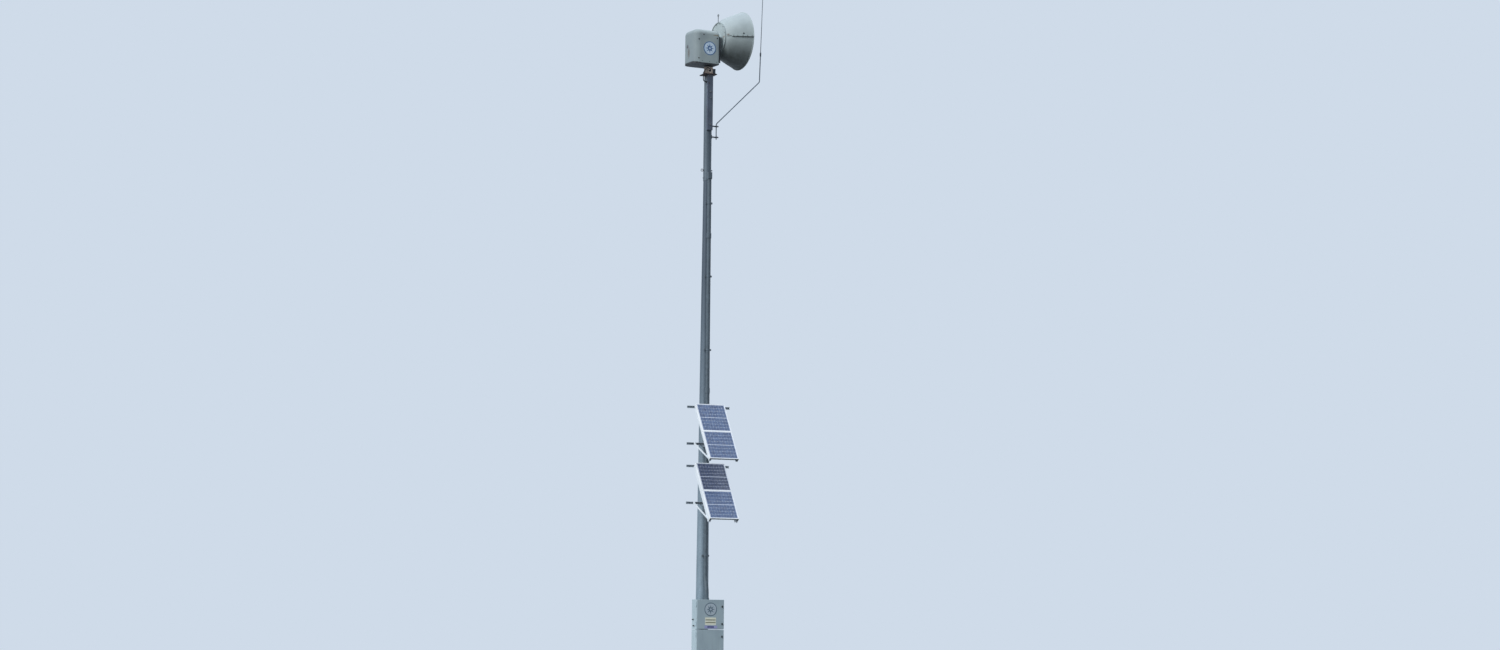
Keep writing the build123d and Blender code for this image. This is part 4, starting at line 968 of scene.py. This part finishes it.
# Each panel's top edge is the highest line of its frame near the pole.
frame_corners = [v.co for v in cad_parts["panel_frames"].data.vertices]
upper_edge = max(frame_corners, key=lambda c: c.z)
near_pole = [c for c in frame_corners if c.y > upper_edge.y - 0.1 and c.z < upper_edge.z - 0.5]
lower_edge = max(near_pole, key=lambda c: c.z)
top_edges = [(edge.y, edge.z) for edge in (upper_edge, lower_edge)]
slope = Vector((0, -math.sin(panel_tilt), -math.cos(panel_tilt)))
face_out = Vector((0, -math.cos(panel_tilt), math.sin(panel_tilt)))
field_w, field_l = module_w - 2 * side_margin, module_l - 2 * end_margin - 2 * half_gap
pitch_x, pitch_y = field_w / cell_cols, field_l / cell_rows


def on_panel(edge, down, out):
    """A place on a panel's face: right is X, up the slope is Y, and Z looks out of the glass."""
    origin = Vector((0, *edge)) + slope * down + face_out * out
    axes = Matrix(((1, 0, 0), tuple(-slope), tuple(face_out))).transposed().to_4x4()
    return Matrix.Translation(origin) @ axes


def on_module(name, place, rows, length, thick, plate_w, plate_l, corner, finish):
    """Thin plates in rows and columns on a module: its cells, or the wires laid over them."""
    # The tree lays a grid of its own, so the mesh that it is given only has to exist.
    mesh = grown(name, wire([(0, 0, 0), (0, 0, 1)]), cell_tree, Columns=cell_cols, Rows=rows,
                 Width=field_w - pitch_x, Length=length, Middle_gap=half_gap, Thick=thick,
                 Cell_width=plate_w, Cell_length=plate_l, Corner=corner, Material=finish)
    piece(name, mesh, "tower", place)


frame_half, end_inset = 0.0175, 0.02
corner_screws = [(Vector((side * panel_w / 2, -down, -frame_half)), (side, 0, 0)) for side in (-1, 1)
                 for down in (end_inset, panel_l / 2, panel_l - end_inset)]
cell_gap_x, cell_gap_y, wire_width, wire_inset = 0.0025, 0.003, 0.0030, 0.002
for level, edge in zip(("upper", "lower"), top_edges):
    screws(f"frame_screws_{level}", corner_screws, 0.009, "tower", on_panel(edge, 0, 0))
    for module, end in enumerate(("top", "bottom")):
        label = f"{level}_{end}"
        place = on_panel(edge, lip + module_l / 2 + module * (module_l + mid_bar), -glass_drop)
        # The lower panel's top module takes the darker cells, a painted reflection.
        on_module("cells_" + label, place, cell_rows, field_l - pitch_y, 0.0004, pitch_x - cell_gap_x,
                  pitch_y - cell_gap_y, 0.004, reflected_dark_cells if label == "lower_top" else cell_blue)
        on_module("bus_wires_" + label, place, 2, field_l / 2, 0.0007, wire_width,
                  field_l / 2 - wire_inset, 0.0, bus_silver)


# Control cabinets: folded sheet steel boxes in light grey powder coat, on strut behind. Rain runs
# and dust dull the coat; the doors hang on the left and close with two latches.

def powder_coat(name, light, dark, dust, rust):
    """Powder-coated sheet: fine orange peel, soft clouds, faint runs of dust down it and rust specks."""
    finish, tree, shader, place = start_finish(name)
    cloud = patches(tree, place, 180.0, 2.2, 0.3, 0.72)
    run = patches(tree, place, 20.0, 22.0, 0.54, 0.8)
    part = add(tree, "ShaderNodeMath", {0: run, 1: 0.4}, operation="MULTIPLY").outputs[0]
    speck = patches(tree, place, 16.0, 2.0, 0.72, 0.77, 8.0)
    coloured(tree, shader, dark, (cloud, light), (part, dust), (speck, rust))
    dulled(tree, shader, cloud, 0.42, 0.56)
    roughened(tree, shader, place, 3.0, 0.0006, 0.12)
    return finish


# Polyester powder coat on steel: an even light blue-grey, semi-matte, with peel about 3 mm across.
cabinet_coat = powder_coat("light_grey_powder_coat", "#a5b8c1", "#97aab4", "#8a999f", "#7d6a5c")
# Black coat on zinc castings: smooth, a little glossy and dusty.
latch_black = moulded("black_coated_zinc", "#23282a", "#121416", 0.45)
dress(cabinet_coat, "upper_cabinet", "lower_cabinet", "upper_door", "lower_door", "door_hinges")
dress(latch_black, "upper_latches", "lower_latches")

# Grey-blue film, faded almost to the colour of the door.
steel_grey = vinyl("faded_grey_blue_vinyl", "#4f6474", "#667988")
steel_pale = vinyl("faded_grey_vinyl", "#a2b3c0", "#b4c1cb")
door_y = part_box("upper_door")[0].y
film_x, door_roundel_z = 0.003, 1.772
roundel("door_roundel", 0.117, steel_grey, steel_pale, "upper_door",
        Matrix.Translation((film_x, door_y - film_seat, door_roundel_z)) @ face_front)


def label_plate(name, width, height, corner, finish, place, thick=0.001):
    """A blank label with rounded corners at a place across and up the upper door."""
    outline, steps = [], 4
    for x, y, start in ((1, 1, 0), (-1, 1, 90), (-1, -1, 180), (1, -1, 270)):
        for n in range(steps + 1):
            a = math.radians(start + 90 * n / steps)
            outline.append(Vector((x * (width / 2 - corner) + corner * math.cos(a),
                                   y * (height / 2 - corner) + corner * math.sin(a), 0)))
    x, z = place
    return piece(name, solid(name, *slab(outline, 0, thick), finish), "upper_door",
                 Matrix.Translation((x, door_y, z)) @ face_front)


# Blank adhesive labels with plain ruled bands, yellowed and faded.
label_cream = vinyl("blank_cream_label", "#e6e9d9", "#d5dac8")
label_lilac = vinyl("blank_lilac_label", "#989dcb", "#a4a9cf")
rule_olive = vinyl("olive_ruled_band", "#6f7260", "#828470")
rule_navy = vinyl("navy_ruled_band", "#2c3068", "#3b4078")
rule_thick = 0.0015
label_plate("cream_label", 0.202, 0.130, 0.006, label_cream, (film_x, 1.568))
for n, z in enumerate((1.591, 1.545)):
    label_plate(f"cream_label_rule_{n + 1}", 0.186, 0.016, 0.001, rule_olive, (film_x, z), rule_thick)
label_plate("lilac_label", 0.236, 0.048, 0.004, label_lilac, (0.010, 1.468))
label_plate("lilac_label_rule", 0.120, 0.022, 0.001, rule_navy, (0.004, 1.470), rule_thick)


# Door gaskets: black foam strip, cut square and stuck round each cabinet's opening, where the closed
# door presses on it.

def hoop(name, width, low, high, strip, y_front, y_back, finish):
    """A flat rectangular ring between two depths."""
    points, faces = [], []
    for y in (y_front, y_back):
        for inset in (0, strip):
            x = width / 2 - inset
            points += [Vector((-x, y, low + inset)), Vector((x, y, low + inset)),
                       Vector((x, y, high - inset)), Vector((-x, y, high - inset))]
    for n in range(4):
        m = (n + 1) % 4
        faces += [(n, m, 4 + m, 4 + n), (8 + m, 8 + n, 12 + n, 12 + m)]
        faces += [(m, n, 8 + n, 8 + m), (4 + n, 4 + m, 12 + m, 12 + n)]
    return solid(name, points, faces, finish)


# Closed-cell foam: black and quite matt.
foam = moulded("black_foam_strip", "#222425", "#151718", 0.8)
gasket_inset, gasket_width, gasket_thick = 0.008, 0.012, 0.0042
for level in ("upper", "lower"):
    low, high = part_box(level + "_cabinet")
    strip = hoop(level + "_gasket", high.x - low.x - 2 * gasket_inset, low.z + gasket_inset,
                 high.z - gasket_inset, gasket_width, low.y - gasket_thick, low.y, foam)
    piece(level + "_gasket", strip, "tower")


# Stage: a pale floor that fades into a pale blue-grey surround, one soft key from the left and above,
# and a weak fill. Little light comes from below, so that undersides stay dark.

backdrop = linear("#cfdbe9")


def seen_rays(tree):
    """1 for rays that show a thing itself: straight to the camera, in a reflection or through glass."""
    rays = add(tree, "ShaderNodeLightPath")
    seen = add(tree, "ShaderNodeMath", {0: rays.outputs["Is Camera Ray"], 1: rays.outputs["Is Glossy Ray"]},
               operation="MAXIMUM").outputs[0]
    return add(tree, "ShaderNodeMath", {0: seen, 1: rays.outputs["Is Transmission Ray"]},
               operation="MAXIMUM").outputs[0]


def stage_floor(half):
    """A square floor: pale where it is seen, dark where it only throws light back, and faded far out."""
    floor = bpy.data.objects.new("floor", bpy.data.meshes.new("floor"))
    floor_gap = 0.002
    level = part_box("base_flange")[0].z - floor_gap
    corners = [(x, y, level) for x, y in ((-half, -half), (half, -half), (half, half), (-half, half))]
    floor.data.from_pydata(corners, [], [(0, 1, 2, 3)])
    bpy.context.scene.collection.objects.link(floor)
    finish, tree, pale, place = start_finish("pale_floor", Roughness=0.85)
    pale.inputs["Base Color"].default_value = linear("#bccad9")
    dark = add(tree, "ShaderNodeBsdfDiffuse", {"Color": linear("#4e4f4a")})
    lit = add(tree, "ShaderNodeMixShader", {0: seen_rays(tree), 1: dark.outputs[0], 2: pale.outputs[0]})
    away = add(tree, "ShaderNodeVectorMath", {0: place}, operation="LENGTH").outputs["Value"]
    fade = add(tree, "ShaderNodeMapRange", {
        0: away, 1: half * 0.3, 2: half * 0.9}, interpolation_type="SMOOTHSTEP")
    clear = add(tree, "ShaderNodeBsdfTransparent")
    both = add(tree, "ShaderNodeMixShader", {0: fade.outputs[0], 1: lit.outputs[0], 2: clear.outputs[0]})
    tree.links.new(both.outputs[0], tree.nodes["Material Output"].inputs["Surface"])
    floor.data.materials.append(finish)


stage_floor(40.0)

world = bpy.data.worlds.new("surround")
bpy.context.scene.world = world
world.use_nodes = True
around = world.node_tree
around.nodes.clear()
look = add(around, "ShaderNodeTexCoord").outputs["Generated"]
look_up = add(around, "ShaderNodeSeparateXYZ", {0: look}).outputs["Z"]
above = add(around, "ShaderNodeMapRange", {0: look_up, 1: -0.12, 2: 0.12}).outputs[0]
from_above = add(around, "ShaderNodeBackground", {"Color": linear("#eaf0f8"), "Strength": 0.80})
from_below = add(around, "ShaderNodeBackground", {"Color": linear("#c8c6bc"), "Strength": 0.12})
ambient = add(around, "ShaderNodeMixShader", {0: above, 1: from_below.outputs[0], 2: from_above.outputs[0]})
shown = add(around, "ShaderNodeBackground", {"Color": backdrop, "Strength": 1.0})
both = add(around, "ShaderNodeMixShader", {0: seen_rays(around), 1: ambient.outputs[0], 2: shown.outputs[0]})
add(around, "ShaderNodeOutputWorld", {0: both.outputs[0]})


def soft_sun(name, towards, strength, spread, colour):
    """A broad distant lamp that shines from a direction."""
    lamp = bpy.data.lights.new(name, "SUN")
    lamp.energy = strength
    lamp.angle = math.radians(spread)
    lamp.color = linear(colour)[:3]
    made = bpy.data.objects.new(name, lamp)
    made.rotation_mode = "QUATERNION"
    made.rotation_quaternion = Vector(towards).to_track_quat("Z", "Y")
    bpy.context.scene.collection.objects.link(made)


soft_sun("key", (-0.85, -0.22, 0.60), 2.8, 28, "#ffffff")
soft_sun("fill", (0.75, 0.55, 0.35), 0.5, 60, "#eef3fa")


# Camera: at eye height, 1.6 m above the foot, and 49 m away with a long lens. It looks up a little and
# leans by half a degree, as in the photo.

camera_data = bpy.data.cameras.new("camera")
camera_data.lens = 67.2
camera_data.sensor_width = 36.0
camera_data.sensor_fit = "HORIZONTAL"
camera_data.clip_end = 500.0
camera = bpy.data.objects.new("camera", camera_data)
bpy.context.scene.collection.objects.link(camera)
bpy.context.scene.camera = camera
stand = Vector((-18.36, -45.43, 1.6))
heading, pitch, roll = math.radians(22.924), math.radians(6.01), math.radians(0.59)
camera.matrix_world = (Matrix.Translation(stand) @ Matrix.Rotation(-heading, 4, "Z")
                       @ Matrix.Rotation(math.pi / 2 + pitch, 4, "X") @ Matrix.Rotation(roll, 4, "Z"))

bpy.context.scene.view_settings.view_transform = "Standard"
